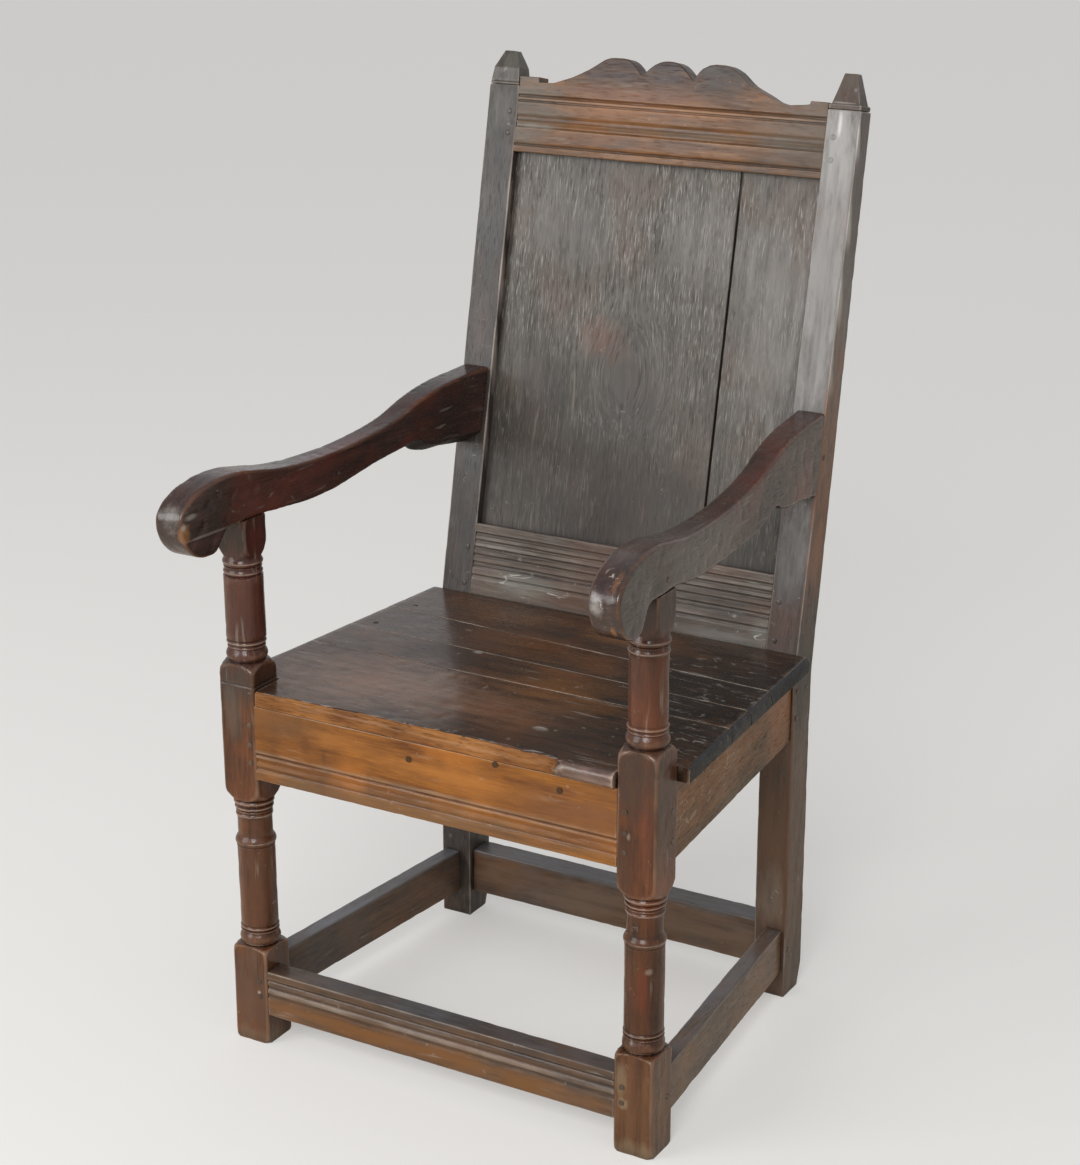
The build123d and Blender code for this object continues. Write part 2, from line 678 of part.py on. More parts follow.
# A few small nails stand in the face of the front rail.
rail_nail_places = [(-27.0, 69.0), (83.0, 86.0), (162.0, 73.0)]
rail_nail_length = 20.0
rail_nails = []
for x, rise in rail_nail_places:
    face_y = front_y + front_rail_setback
    shank = peg_along_y(x, seat_rail_bottom + rise, face_y, face_y + rail_nail_length, nail_radius)
    head = peg_along_y(x, seat_rail_bottom + rise, face_y - 0.6, face_y, nail_head_radius)
    rail_nails.append(shank + head)


def nailed(member, nails):
    """Clear the nails' holes, a hair wider than the nails themselves."""
    for piece in nails:
        member -= piece
    return member


front_board = nailed(front_board, seat_nails[0:4])
middle_front_board = nailed(middle_front_board, seat_nails[4:8])
middle_back_board = nailed(middle_back_board, seat_nails[8:12])
back_board = nailed(back_board, seat_nails[12:16])
side_rail_right = nailed(side_rail, [n for n in seat_nails if n.center().X > 0])
side_rail_left = nailed(other_side(side_rail), [n for n in seat_nails if n.center().X < 0])
front_rail = nailed(front_rail, rail_nails)

# ---------------------------------------------------------------- arms
# The side outline is drawn from the leg's axis, Y backwards and Z up.
reach = front_face_y(arm_height) - leg_y
past_post = reach + post_depth
top_z = arm_height + hand_rise
rear_z = arm_height + arm_rise
tip_y = -hand_length
neck_y = -hand_neck
tip_z = arm_height + 20.0
hand_under = arm_height - hand_drop

arm_top = Spline((past_post, rear_z + 2.0), (reach - 17, rear_z), (reach - 72, rear_z - 3.5),
                 (reach - 122, rear_z - 13.0), (reach - 164, rear_z - 25.5),
                 (reach - 222, rear_z - 34.5), (reach - 302, rear_z - 38.5),
                 (55, top_z - 13.5), (10, top_z - 5.5), (-27, top_z), (-75, top_z - 3.5))
hand_front = Spline((-75, top_z - 3.5), (tip_y + 17, tip_z + 23), (tip_y + 3, tip_z + 10),
                    (tip_y, tip_z), (tip_y + 3, tip_z - 17), (tip_y + 14, tip_z - 33),
                    (tip_y + 31, hand_under + 2.5), (neck_y - 37, hand_under),
                    tangents=[(-1, -0.12), (1, 0)])
hand_inside = Spline((neck_y - 37, hand_under), (neck_y - 26, hand_under + 2.5),
                     (neck_y - 17, hand_under + 12.5), (neck_y - 9, arm_height - 5),
                     (neck_y, arm_height), tangents=[(1, 0), (1, 0.1)])
arm_seat = Polyline((neck_y, arm_height), (22, arm_height))
arm_under = Spline((22, arm_height), (45, arm_height - 5), (92, arm_height - 9),
                   (reach - 287, arm_height - 7.5), (reach - 225, arm_height - 2),
                   (reach - 160, arm_height + 4), (reach - 120, arm_height + 6.5))
arm_end = Polyline((reach - 120, arm_height + 6.5), (reach - 104, arm_height - 3),
                   (past_post, arm_height - arm_end_drop - 5), (past_post, rear_z + 2.0))
arm_edges = Curve() + [arm_top, hand_front, hand_inside, arm_seat, arm_under, arm_end]
arm_plate = extrude(Plane.YZ * make_face(arm_edges.edges()), arm_thickness / 2, both=True)

arm_front_x = front_width / 2 - arm_inset - arm_thickness / 2
arm_splay = degrees(atan((arm_front_x - arm_rear_x) / reach))
arm = Pos(arm_front_x, leg_y, 0) * Rot(0, 0, arm_splay) * arm_plate
arm -= back_frame * block(-front_width, front_width, 0, 4 * post_depth,
                          -post_depth, post_top_up)
arm += back_frame * block(*arm_tenon)
arm -= grown(*leg_tenon)
arm = drilled(arm, arm_peg_set)

# ---------------------------------------------------------------- the parts
def both_sides(solids):
    return list(solids) + [other_side(solid) for solid in solids]


split = seat_rail_bottom - 1.0
front_peg_solids = front_peg_set(peg_radius)
side_peg_solids = side_peg_set(peg_radius)
rear_peg_solids = rear_peg_set(peg_radius)


def above(solids):
    return [solid for solid in solids if solid.center().Z > split]


def below(solids):
    return [solid for solid in solids if solid.center().Z < split]


parts = {
    "front_leg_left": [other_side(front_leg)],
    "front_leg_right": [front_leg],
    "rear_post_left": [other_side(rear_post)],
    "rear_post_right": [rear_post],
    "finial_left": [other_side(finial)],
    "finial_right": [finial],
    "finial_dowels": both_sides([finial_dowel]),
    "top_rail": [top_rail],
    "lower_back_rail": [lower_rail],
    "panel_board_wide": [panel_wide],
    "panel_board_narrow": [panel_narrow],
    "front_seat_rail": [front_rail],
    "side_seat_rail_left": [side_rail_left],
    "side_seat_rail_right": [side_rail_right],
    "rear_seat_rail": [rear_rail],
    "front_stretcher": [front_stretcher],
    "side_stretcher_left": [other_side(side_stretcher)],
    "side_stretcher_right": [side_stretcher],
    "rear_stretcher": [rear_stretcher],
    "seat_board_front": [front_board],
    "seat_board_middle_front": [middle_front_board],
    "seat_board_middle_back": [middle_back_board],
    "seat_board_back": [back_board],
    "arm_left": [other_side(arm)],
    "arm_right": [arm],
    "pegs_front_rail": both_sides(above(front_peg_solids)),
    "pegs_side_rails": both_sides(above(side_peg_solids)),
    "pegs_rear_rail": both_sides(above(rear_peg_solids)),
    "pegs_stretchers": both_sides(below(front_peg_solids + side_peg_solids + rear_peg_solids)),
    "pegs_back_frame": both_sides(back_peg_set(peg_radius)),
    "pegs_arms": both_sides(arm_peg_set(peg_radius)),
    "seat_nails": seat_nails,
    "front_rail_nails": rail_nails,
}

# The origin is the middle of the whole chair's box, at floor level.
boxes = [solid.bounding_box() for solids in parts.values() for solid in solids]
back_limit = max(box.max.Y for box in boxes)
front_limit = min(box.min.Y for box in boxes)
to_origin = Pos(0, -(back_limit + front_limit) / 2, 0)

os.makedirs("parts", exist_ok=True)
for name, solids in parts.items():
    placed = [to_origin * solid for solid in solids]
    shape = placed[0] if len(placed) == 1 else Compound(placed)
    export_step(shape, f"parts/{name}.step")
print("front", front_limit, "back", back_limit, "moved", to_origin.position.Y)
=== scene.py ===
from math import cos, pi, radians, sin, tan

import bpy
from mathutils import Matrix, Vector, noise


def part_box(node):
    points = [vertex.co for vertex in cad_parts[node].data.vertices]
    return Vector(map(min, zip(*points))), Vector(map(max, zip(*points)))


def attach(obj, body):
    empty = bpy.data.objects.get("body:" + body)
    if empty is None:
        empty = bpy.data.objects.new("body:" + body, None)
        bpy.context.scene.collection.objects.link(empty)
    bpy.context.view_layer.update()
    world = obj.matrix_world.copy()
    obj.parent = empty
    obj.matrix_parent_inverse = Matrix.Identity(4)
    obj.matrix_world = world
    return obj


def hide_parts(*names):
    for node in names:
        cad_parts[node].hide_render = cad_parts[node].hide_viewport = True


# A joined oak armchair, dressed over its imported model.  Metres, +Z up, the
# sitter faces -Y, left is -X.
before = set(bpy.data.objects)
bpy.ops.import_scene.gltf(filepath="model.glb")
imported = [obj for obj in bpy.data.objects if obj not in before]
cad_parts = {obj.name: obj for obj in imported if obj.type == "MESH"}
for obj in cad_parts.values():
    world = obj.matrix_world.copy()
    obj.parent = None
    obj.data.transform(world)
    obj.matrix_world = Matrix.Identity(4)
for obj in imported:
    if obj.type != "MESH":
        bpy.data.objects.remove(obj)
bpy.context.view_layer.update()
mm = 0.001

# ---------------------------------------------------------------- camera
# A long lens at standing height, looking down at the chair's right front.
camera_data = bpy.data.cameras.new("camera")
camera_data.lens = 76.675
camera = bpy.data.objects.new("camera", camera_data)
camera.location = (1.34967, -2.32361, 1.45022)
camera.rotation_euler = (radians(71.378), 0.0, radians(30.124))
bpy.context.scene.collection.objects.link(camera)
bpy.context.scene.camera = camera
bpy.context.scene.view_settings.view_transform = "Standard"

# ---------------------------------------------------------------- light
# A pale room, lighter at the height of its walls, with two large soft lamps in
# front of the chair.
def plugged(node, inputs):
    """Gives a shader node its inputs: each is a value or another node's output."""
    for key, value in inputs.items():
        if isinstance(value, bpy.types.NodeSocket):
            node.id_data.links.new(value, node.inputs[key])
        else:
            node.inputs[key].default_value = value
    return node


def added(tree, kind, inputs, **settings):
    """A new shader node with its settings and inputs."""
    node = tree.nodes.new("ShaderNode" + kind)
    for key, value in settings.items():
        setattr(node, key, value)
    return plugged(node, inputs)


world = bpy.data.worlds.new("pale room")
bpy.context.scene.world = world
world.use_nodes = True
air = world.node_tree
looked_at = added(air, "SeparateXYZ", {0: added(air, "TexCoord", {}).outputs["Generated"]})
room_light = added(air, "MapRange", {"Value": looked_at.outputs["Z"], "From Min": 0.1,
                                     "From Max": 0.8, "To Min": 0.56, "To Max": 0.36},
                   interpolation_type="SMOOTHSTEP")
plugged(air.nodes["Background"], {"Color": (0.95, 0.95, 0.96, 1),
                                  "Strength": room_light.outputs[0]})

lit_place = Vector((0, 0, 0.55))       # the lamps point at the middle of the chair
for name, place, size, power in (("lamp right", (1.0, -3.3, 2.7), 1.5, 60.0),
                                 ("lamp left", (-2.0, -3.0, 1.8), 2.0, 46.0)):
    lamp = bpy.data.lights.new(name, "AREA")
    lamp.size = size
    lamp.energy = power
    holder = bpy.data.objects.new(name, lamp)
    holder.location = place
    aim = lit_place - Vector(place)
    holder.rotation_euler = aim.to_track_quat("-Z", "Y").to_euler()
    bpy.context.scene.collection.objects.link(holder)

# ---------------------------------------------------------------- floor
# A plain pale floor, wide enough to fill the view.  The camera sees it paler than
# the light that it throws back on the chair, and what shines sees a part of that.
bpy.ops.object.select_all(action="DESELECT")
bpy.ops.mesh.primitive_plane_add(size=60, location=(0, 0, 0))
floor = bpy.context.object
floor.name = "floor"


def new_finish(name):
    """A new material and its nodes."""
    material = bpy.data.materials.new(name)
    material.use_nodes = True
    return material, material.node_tree


plaster, tree = new_finish("pale floor")
ray = added(tree, "LightPath", {}).outputs
shone = added(tree, "Math", {0: ray["Is Glossy Ray"], 1: 0.3, 2: ray["Is Transmission Ray"]},
              operation="MULTIPLY_ADD")
seen = added(tree, "Math", {0: ray["Is Camera Ray"], 1: shone.outputs[0]}, operation="MAXIMUM")
paint = added(tree, "Mix", {0: seen.outputs[0], 6: (0.72, 0.65, 0.52, 1),
                            7: (0.66, 0.65, 0.63, 1)}, data_type="RGBA")
glow = added(tree, "Math", {0: seen.outputs[0], 1: 0.34}, operation="MULTIPLY")
plugged(tree.nodes["Principled BSDF"], {
    "Roughness": 0.9, "Specular IOR Level": 0.2, "Base Color": paint.outputs[2],
    "Emission Strength": glow.outputs[0], "Emission Color": (1.0, 0.985, 0.96, 1)})
floor.data.materials.append(plaster)


# ---------------------------------------------------------------- front legs
# Oak, one squared stock each: square where rails, stretchers and arm are
# tenoned in, and turned between.  The turning is an outline spun about the
# leg's axis, and the square stock's faces cut its widest rings flat.
def oak(name, turn, shift, dark, light, worn, blush, figure=0.55, open_grain=0.5,
        haze=(260, 250, 240), haze_share=0.15, gloss=0.33, coat=0.2, wear=0.8,
        scuffs=0.35, scuffed=(340, 290, 240), chalk_and_sheen=0.0, ring_scale=16.0,
        contrast=1.0, marks=(), scratches=(), over=(), knot=None):
    """Old waxed oak: growth rings, fibres, open pores, patina, rubbed edges, dust with a painted
    sheen, and painted shade in its creases and near other parts.

    turn brings the grain's direction onto Z.  Colours are in thousandths.  Each mark is a place of
    wear or stain, or light and shade painted on, and each of scratches a place with fine pale
    lines, scratch marks with some painted glints: its middle and half-sizes (mm), colour and how
    far it covers.  Those of over lie on the rubbed edges."""
    material, tree = new_finish(name)

    def node(kind, inputs, **settings):
        return added(tree, kind, inputs, **settings)

    def clouds(vector, scale, detail=3.0, roughness=0.5, distortion=0.0):
        return node("TexNoise", {"Vector": vector, "Scale": scale, "Detail": detail,
                                 "Roughness": roughness, "Distortion": distortion}).outputs[0]

    def spread(value, low, high, start=0.0, end=1.0):
        return node("MapRange", {"Value": value, "From Min": low, "From Max": high,
                                 "To Min": start, "To Max": end}).outputs[0]

    def work(operation, first, second):
        return node("Math", {0: first, 1: second}, operation=operation).outputs[0]

    def times(first, second):
        return work("MULTIPLY", first, second)

    def mixed(share, first, second):
        def colour(value):
            if isinstance(value, bpy.types.NodeSocket):
                return value
            return (*[v / 1000 for v in value], 1)
        return node("Mix", {0: share, 6: colour(first), 7: colour(second)},
                    data_type="RGBA").outputs[2]

    def away(place, middle, sizes):
        """How far a place is from the middle of a mark, as a share of its half-sizes."""
        offset = node("VectorMath", {0: place, 1: [v * mm for v in middle]},
                      operation="SUBTRACT").outputs[0]
        scaled = node("VectorMath", {0: offset, 1: [1 / (v * mm) for v in sizes]},
                      operation="MULTIPLY").outputs[0]
        return offset, node("VectorMath", {0: scaled}, operation="LENGTH").outputs["Value"]

    place = node("TexCoord", {}).outputs["Object"]
    grain_place = place
    swirl = None
    if knot:
        offset, distance = away(place, *knot)
        swirl = node("MapRange", {"Value": distance, "From Min": 0.0, "From Max": 1.0,
                                  "To Min": 1.0, "To Max": 0.0},
                     interpolation_type="SMOOTHSTEP").outputs[0]
        pulled = node("VectorMath", {0: offset, "Scale": times(swirl, -0.8)}, operation="SCALE")
        grain_place = node("VectorMath", {0: place, 1: pulled.outputs[0]}).outputs[0]
    board = node("Mapping", {"Vector": grain_place, "Rotation": turn,
                             "Location": shift}).outputs[0]

    def drawn_out(squeeze, lean=(0, 0, 0)):
        """The board's own place, with its pattern drawn out along the grain."""
        return node("Mapping", {"Vector": board, "Rotation": lean,
                                "Scale": (1, 1, squeeze)}).outputs[0]

    long, short, drawn = drawn_out(0.07), drawn_out(0.14), drawn_out(0.3)

    contour = times(clouds(long, ring_scale, 1.5, 0.4, 0.5), 16)
    if knot:
        contour = work("ADD", contour, times(times(swirl, swirl), 2.6))
    rings = work("PINGPONG", contour, 0.5)
    fibre = clouds(long, 420, 2)
    streak = clouds(long, 90, 3)
    pore = spread(clouds(short, 520, 1), 0.58, 0.7)
    patina = clouds(board, 7, 4, 0.55)
    rubbed = spread(clouds(board, 9, 3, 0.5), 0.5, 0.68)
    speck = clouds(short, 260, 2)
    blotch = clouds(drawn, 60, 4, 0.65)
    patches = clouds(board, 16, 2)

    # Lays the marks on: stains and wear, with painted sheen, highlights and shade among them.
    def stains_and_painted_light(body, marks):
        for middle, sizes, colour, share in marks:
            distance = work("ADD", away(place, middle, sizes)[1],
                            times(work("SUBTRACT", blotch, 0.5), 1.8))
            cover = times(spread(distance, 1.15, 0.45, 0, share),
                          spread(streak, 0.36, 0.56, 0.6, 1))
            body = mixed(cover, body, colour)
        return body

    tone = times(work("SUBTRACT", rings, 0.25), 1.6 * figure)
    tone = work("ADD", tone, times(work("SUBTRACT", fibre, 0.5), 1.3))
    tone = work("ADD", tone, times(work("SUBTRACT", streak, 0.5), 1.7))
    body = mixed(work("ADD", times(tone, contrast), 0.5), dark, light)
    body = mixed(times(rubbed, 0.7), body, blush)
    body = mixed(spread(patina, 0.45, 0.72, 0, 0.55), body, [v * 0.35 for v in dark])
    body = mixed(times(pore, 0.7 * open_grain), body, [v * 0.25 for v in dark])
    if chalk_and_sheen:
        line = spread(clouds(drawn_out(0.075), 760, 2.5, 0.55, 0.25), 0.54, 0.68)
        line = times(line, spread(patches, 0.38, 0.6, 0.25, 1))
        # Its pale lines grow stronger towards the top: a painted sheen, paler higher up.
        height = node("SeparateXYZ", {"Vector": place}).outputs["Z"]
        line = times(line, spread(height, 0.55, 0.95, 0.3, 1))
        body = mixed(times(line, chalk_and_sheen), body, (490, 475, 440))
    body = stains_and_painted_light(body, marks)
    for middle, sizes, colour, share in scratches:
        wander = clouds(drawn, 60, 2.5, 0.55, 0.8)
        thin = spread(work("ABSOLUTE", work("SUBTRACT", wander, 0.5), 0), 0.022, 0.008)
        thin = times(thin, spread(clouds(drawn, 90, 2), 0.5, 0.58))
        cover = times(spread(away(place, middle, sizes)[1], 1, 0.7, 0, share), thin)
        body = mixed(cover, body, colour)

    geometry = node("NewGeometry", {})
    height = work("ADD", geometry.outputs["Pointiness"], times(work(
        "SUBTRACT", blotch, 0.5), 0.035))
    edge = times(spread(height, 0.513, 0.548), spread(patches, 0.36, 0.6, 0.2, 1))
    body = mixed(times(edge, 0.8 * wear), body, worn)
    # Darker in the creases: painted shade, with the dirt worked into them.
    hollow = spread(geometry.outputs["Pointiness"], 0.488, 0.45)
    body = mixed(times(hollow, 0.65), body, [v * 0.2 for v in dark])

    scrape = clouds(drawn_out(0.1, (0.45, 0.3, 0)), 120, 2, 0.6)
    scrape = times(spread(scrape, 0.63, 0.7), spread(clouds(board, 12, 2), 0.5, 0.62))
    chips = spread(clouds(board, 75, 3, 0.7), 0.66, 0.72)
    body = mixed(times(work("MAXIMUM", scrape, chips), scuffs), body, scuffed)
    body = stains_and_painted_light(body, over)

    # Darker where other wood lies within 20 mm: painted shade, with the dirt of the corners.
    near = node("AmbientOcclusion", {"Distance": 0.02}, samples=5).outputs["AO"]
    grime_and_painted_shade = spread(near, 0.75, 0.2)
    body = mixed(times(grime_and_painted_shade, 0.75), body, (8, 6, 5))

    # Paler and greyer on upward faces: dust lying on them, with a painted sheen of the pale room.
    up = node("SeparateXYZ", {"Vector": geometry.outputs["Normal"]}).outputs["Z"]
    settled_dust_and_sheen = times(spread(up, 0.3, 1, 0.25, 1), spread(patina, 0.35, 0.6))
    settled_dust_and_sheen = times(settled_dust_and_sheen, spread(speck, 0.35, 0.65, 0.5, 1))
    body = mixed(times(settled_dust_and_sheen, haze_share), body, haze)

    rough = work("ADD", spread(patina, 0.35, 0.7, gloss - 0.07, gloss + 0.12), times(pore, 0.2))
    rough = work("ADD", rough, times(spread(speck, 0.4, 0.7), 0.1))

    grain = work("ADD", times(fibre, 0.5), times(rings, 0.3 * figure))
    grain = work("SUBTRACT", grain, times(pore, 0.6 * open_grain))
    fine = node("Bump", {"Height": grain, "Strength": 0.45, "Distance": 0.0006}).outputs[0]
    dents = node("Bump", {"Height": clouds(drawn, 45, 3), "Strength": 0.28,
                          "Distance": 0.003, "Normal": fine}).outputs[0]

    plugged(tree.nodes["Principled BSDF"], {
        "Base Color": body, "Roughness": rough, "Normal": dents, "Coat Weight": coat,
        "Coat Roughness": 0.17, "IOR": 1.42})
    return material


ALONG_X = (0.0, -pi / 2, 0.0)
ALONG_Y = (pi / 2, 0.0, 0.0)
UPRIGHT = (0.0, 0.0, 0.0)
both_sides = ((1, "right"), (-1, "left"))


def marked(table):
    """Reads marks, one to a row: middle, half-sizes, colour and how far it covers."""
    rows = [[float(word) for word in row.split()] for row in table.strip().splitlines()]
    return [(row[:3], row[3:6], row[6:9], row[9]) for row in rows]


def limited(value, low=0.0, high=1.0):
    return max(low, min(high, value))


def begin():
    """Leaves everything alone before a new primitive is added."""
    if bpy.context.object and bpy.context.object.mode != "OBJECT":
        bpy.ops.object.mode_set(mode="OBJECT")
    bpy.ops.object.select_all(action="DESELECT")


def hold(piece):
    """Makes a piece the one that operators work on."""
    begin()
    piece.select_set(True)
    bpy.context.view_layer.objects.active = piece


def opened():
    """Edit mode, with the whole piece selected."""
    bpy.ops.object.mode_set(mode="EDIT")
    bpy.ops.mesh.select_all(action="SELECT")


def closed():
    bpy.ops.object.mode_set(mode="OBJECT")


def dressed(piece, wave, dent, seed, sharp, turn, shift, **look):
    """Takes a surface in by a hand-dressed, slightly wavy amount (mm), and gives it its oak."""
    mesh = piece.data
    moved = []
    for vertex in mesh.vertices:
        spot = vertex.co + Vector((seed * 0.37, seed * 0.11, seed * 0.23))
        inward = wave * mm * (0.5 + 0.5 * noise.noise(spot * 16)) + dent * mm * max(
            0.0, noise.noise(spot * 75) - 0.1)
        moved.append(vertex.co - vertex.normal * inward)
    for vertex, spot in zip(mesh.vertices, moved):
        vertex.co = spot
    mesh.update()
    hold(piece)
    bpy.ops.object.shade_smooth_by_angle(angle=radians(sharp))
    mesh.materials.append(oak("oak_" + piece.name, turn, shift, **look))


def faced(piece, material, chosen):
    """Gives the faces that pass a test another finish."""
    piece.data.materials.append(material)
    for face in piece.data.polygons:
        if chosen(face):
            face.material_index = len(piece.data.materials) - 1


block_corner = 32.5        # the squares' arrises are rubbed round
turning = []               # (radius, height) up the leg, in millimetres
leg_sides = 96
block_half, neck_half = 24.0, 20.5     # half the squares, and half the one under the arm
neck_z = 0.597
scribed_line = (0.4480, 0.4500)        # round the left leg's block
left_shaft = (0.4995, 0.5750)          # a little thicker than the right one


def rise(low, high, radius, step):
    count = max(1, round((high - low) / step))
    turning.extend((radius, low + (high - low) * i / count) for i in range(count + 1))


def bead(low, high, inner, outer, steps=6):
    """A half-round ring between two heights."""
    for i in range(steps + 1):
        swell = sin(pi * i / steps)
        turning.append((inner + (outer - inner) * swell, low + (high - low) * i / steps))


turning += [(30, 0), (block_corner - 0.6, 2)]
rise(6, 113, block_corner, 6)
turning += [(block_corner - 0.5, 116), (31, 118.4), (28, 120.2), (24.4, 121.8)]
bead(122.6, 136.6, 21.6, 24, 8)
bead(137.4, 140.6, 21.2, 22.9, 4)
bead(141.2, 146.2, 21.2, 22.9, 5)
rise(148, 245, 22.1, 6)
turning += [(22.4, 246.6)]
bead(247.2, 257.6, 21.8, 23.8, 7)
rise(259.4, 281, 20.2, 5)
bead(283, 288.4, 20.4, 21.9, 5)
bead(289.2, 291.6, 20.6, 21.6, 3)
bead(292.4, 297.2, 20.8, 22.8, 5)
bead(298, 305.4, 21.4, 23.8, 6)
turning += [(25.2, 306.8), (28.2, 310), (31, 314.2), (block_corner - 0.3, 318)]
rise(323, 446, block_corner, 6)
rise(447.2, 450.8, block_corner, 1.2)
rise(453, 459, block_corner, 3)
turning += [(block_corner - 0.5, 463), (31.2, 466), (28.4, 469.6), (25, 473)]
bead(474.4, 488, 21.4, 23.9, 8)
bead(489, 492.4, 20.9, 22, 4)
bead(493.4, 499, 21, 22.8, 5)
rise(501, 574, 21.5, 6)
bead(575.4, 582.4, 21, 22.7, 5)
bead(584, 586, 21, 22.2, 3)
bead(586.8, 594.6, 21.6, 23.4, 6)
turning += [(21.4, 596.4), (22.4, 598), (24.6, 602), (26.4, 606), (27.7, 611)]
rise(616, 640, 27.9, 6)
turning += [(27.4, 642.2), (25, 643)]

leg_colours = dict(
    dark=(38, 11, 3), light=(150, 46, 11), worn=(380, 230, 150),
    blush=(230, 60, 12), gloss=0.22, coat=0.3, wear=0.65, scuffs=0.35, haze_share=0.03)
# In both tables the row at 625 mm darkens the square under the arm nearly to black: painted shade
# under the arm and its hand-hold.
leg_marks = {1: marked("""
    254 -213 580  60 60 150  70 22 15  0.6
    264 -237 385  10 20 60  170 40 14  0.6
    262 -232 200  8 14 32  170 32 12  0.6
    240 -225 330  10 20 50  45 32 20  0.55
    256 -236 100  8 12 30  170 55 24  0.5
    254 -213 60  60 60 70  200 98 42  0.55
    254 -225 445  60 60 50  36 25 19  0.65
    254 -213 625  60 60 30  20 8 6  0.85
    245 -237 376  2.5 6 4  340 280 230  0.6
    268 -232 222  4 12 4  360 280 210  0.6
    240 -237 90  7 8 22  270 200 120  0.55
    242 -237 60  6 8 7  360 290 190  0.55
    255 -237 2  40 30 16  270 200 120  0.55"""),
             -1: marked("""
    -257 -213 560  60 60 130  86 26 22  0.7
    -257 -213 625  60 60 30  18 10 8  0.9
    -236 -213 622  7 20 24  115 18 13  0.85
    -257 -213 450  60 60 26  36 30 24  0.7
    -254 -213 200  60 60 110  190 75 34  0.45
    -257 -213 55  60 60 75  105 68 46  0.6
    -242 -237 65  2.5 6 3  500 430 360  0.9
    -262 -237 415  14 8 40  115 88 72  0.5
    -249 -232 4  40 30 14  200 140 85  0.5""")}

# Thin pale lines round the beads' crests: their wear, with painted highlights.
ring_tops = (124.5, 143.7, 252.4, 285.7, 294.8, 302.0, 496.2, 579.0, 590.6)
crest_wear_and_highlights = {side: [((side * 254, -213, height), (40, 40, 0.8), (420, 350, 300), 0.6)
                     for height in ring_tops] for side in (1, -1)}

for side, word in both_sides:
    low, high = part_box("front_leg_" + word)
    axis_x, axis_y = (low.x + high.x) / 2, (low.y + high.y) / 2
    begin()
    bpy.ops.mesh.primitive_circle_add(vertices=leg_sides, radius=turning[0][0] * mm,
                                      fill_type="NGON", location=(axis_x, axis_y, 0))
    leg = bpy.context.object
    leg.name = "turned_leg_" + word
    bpy.ops.object.transform_apply()
    opened()
    for (radius, height), (next_radius, next_height) in zip(turning, turning[1:]):
        bpy.ops.mesh.extrude_region_move(
            TRANSFORM_OT_translate={"value": (0, 0, (next_height - height) * mm)})
        ratio = next_radius / radius
        bpy.ops.transform.resize(value=(ratio, ratio, 1),
                                 center_override=(axis_x, axis_y, next_height * mm))
    bpy.ops.mesh.select_all(action="SELECT")
    bpy.ops.mesh.normals_make_consistent(inside=False)
    closed()
    for vertex in leg.data.vertices:
        height = vertex.co.z
        half = (neck_half if height > neck_z else block_half) * mm
        across, forward = vertex.co.x - axis_x, vertex.co.y - axis_y
        lean = 0.0
        if side < 0:                       # the left leg leans outwards
            lean = 3.0 * mm * limited((height - 0.12) / 0.28)
            lean += 2.2 * mm * limited((height - 0.44) / 0.2)
            if scribed_line[0] < height < scribed_line[1]:
                half -= 0.9 * mm
            if left_shaft[0] < height < left_shaft[1]:
                across, forward = across * 1.06, forward * 1.06
        vertex.co.x = axis_x - lean + limited(across, -half, half)
        vertex.co.y = axis_y + limited(forward, -half, half)
    leg.data.update()
    dressed(leg, 0.5, 0.9, 3 if side > 0 else 8, 50, UPRIGHT, (side * 0.31, 0.2, 0.1),
            marks=leg_marks[side], over=crest_wear_and_highlights[side], **leg_colours)
    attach(leg, "root")
    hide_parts("front_leg_" + word)


# ---------------------------------------------------------------- rear posts
# Sawn from thick plank with a bend at the seat, so that the back leans.  The
# arrises of the front are rubbed, the foot's rear corner is worn off.
def stock(name, low, high, arris, cell=(9, 9, 9), segments=3, rounded=()):
    """A squared timber with softened arrises, cut into even cells (mm).

    Each entry of rounded is a test of an edge's middle, a radius and a number of steps."""
    begin()
    low, high = Vector(low), Vector(high)
    bpy.ops.mesh.primitive_cube_add(size=1, location=(low + high) / 2)
    timber = bpy.context.object
    timber.name = name
    timber.scale = high - low
    bpy.ops.object.transform_apply()
    bpy.ops.object.mode_set(mode="EDIT")
    bpy.ops.mesh.select_mode(type="EDGE")
    for chosen, radius, steps in rounded:
        bpy.ops.mesh.select_all(action="DESELECT")
        closed()
        for edge in timber.data.edges:
            ends = [timber.data.vertices[i].co for i in edge.vertices]
            edge.select = chosen((ends[0] + ends[1]) / 2)
        bpy.ops.object.mode_set(mode="EDIT")
        bpy.ops.mesh.bevel(offset=radius * mm, segments=steps, profile=0.5, affect="EDGES")
    bpy.ops.mesh.select_all(action="DESELECT")
    bpy.ops.mesh.edges_select_sharp(sharpness=radians(50))
    bpy.ops.mesh.bevel(offset=arris * mm, segments=segments, profile=0.5, affect="EDGES")
    bpy.ops.mesh.select_mode(type="VERT")
    closed()
    for axis in range(3):
        start, end = low[axis] + arris * mm, high[axis] - arris * mm
        count = max(1, round((end - start) / (cell[axis] * mm)))
        places = [start + (end - start) * i / count for i in range(1, count)]
        if end - start > 12 * mm:
            places += [start + 1.1 * mm, start + 2.4 * mm, end - 1.1 * mm, end - 2.4 * mm]
        slices(timber, axis, places)
    return timber


def slices(piece, axis, places):
    """Cuts a piece across at each place, as with a saw that takes nothing away."""
    hold(piece)
    bpy.ops.object.mode_set(mode="EDIT")
    for place in places:
        spot, direction = [0.0, 0.0, 0.0], [0.0, 0.0, 0.0]
        spot[axis], direction[axis] = place, 1.0
        bpy.ops.mesh.select_all(action="SELECT")
        bpy.ops.mesh.bisect(plane_co=spot, plane_no=direction)
    closed()


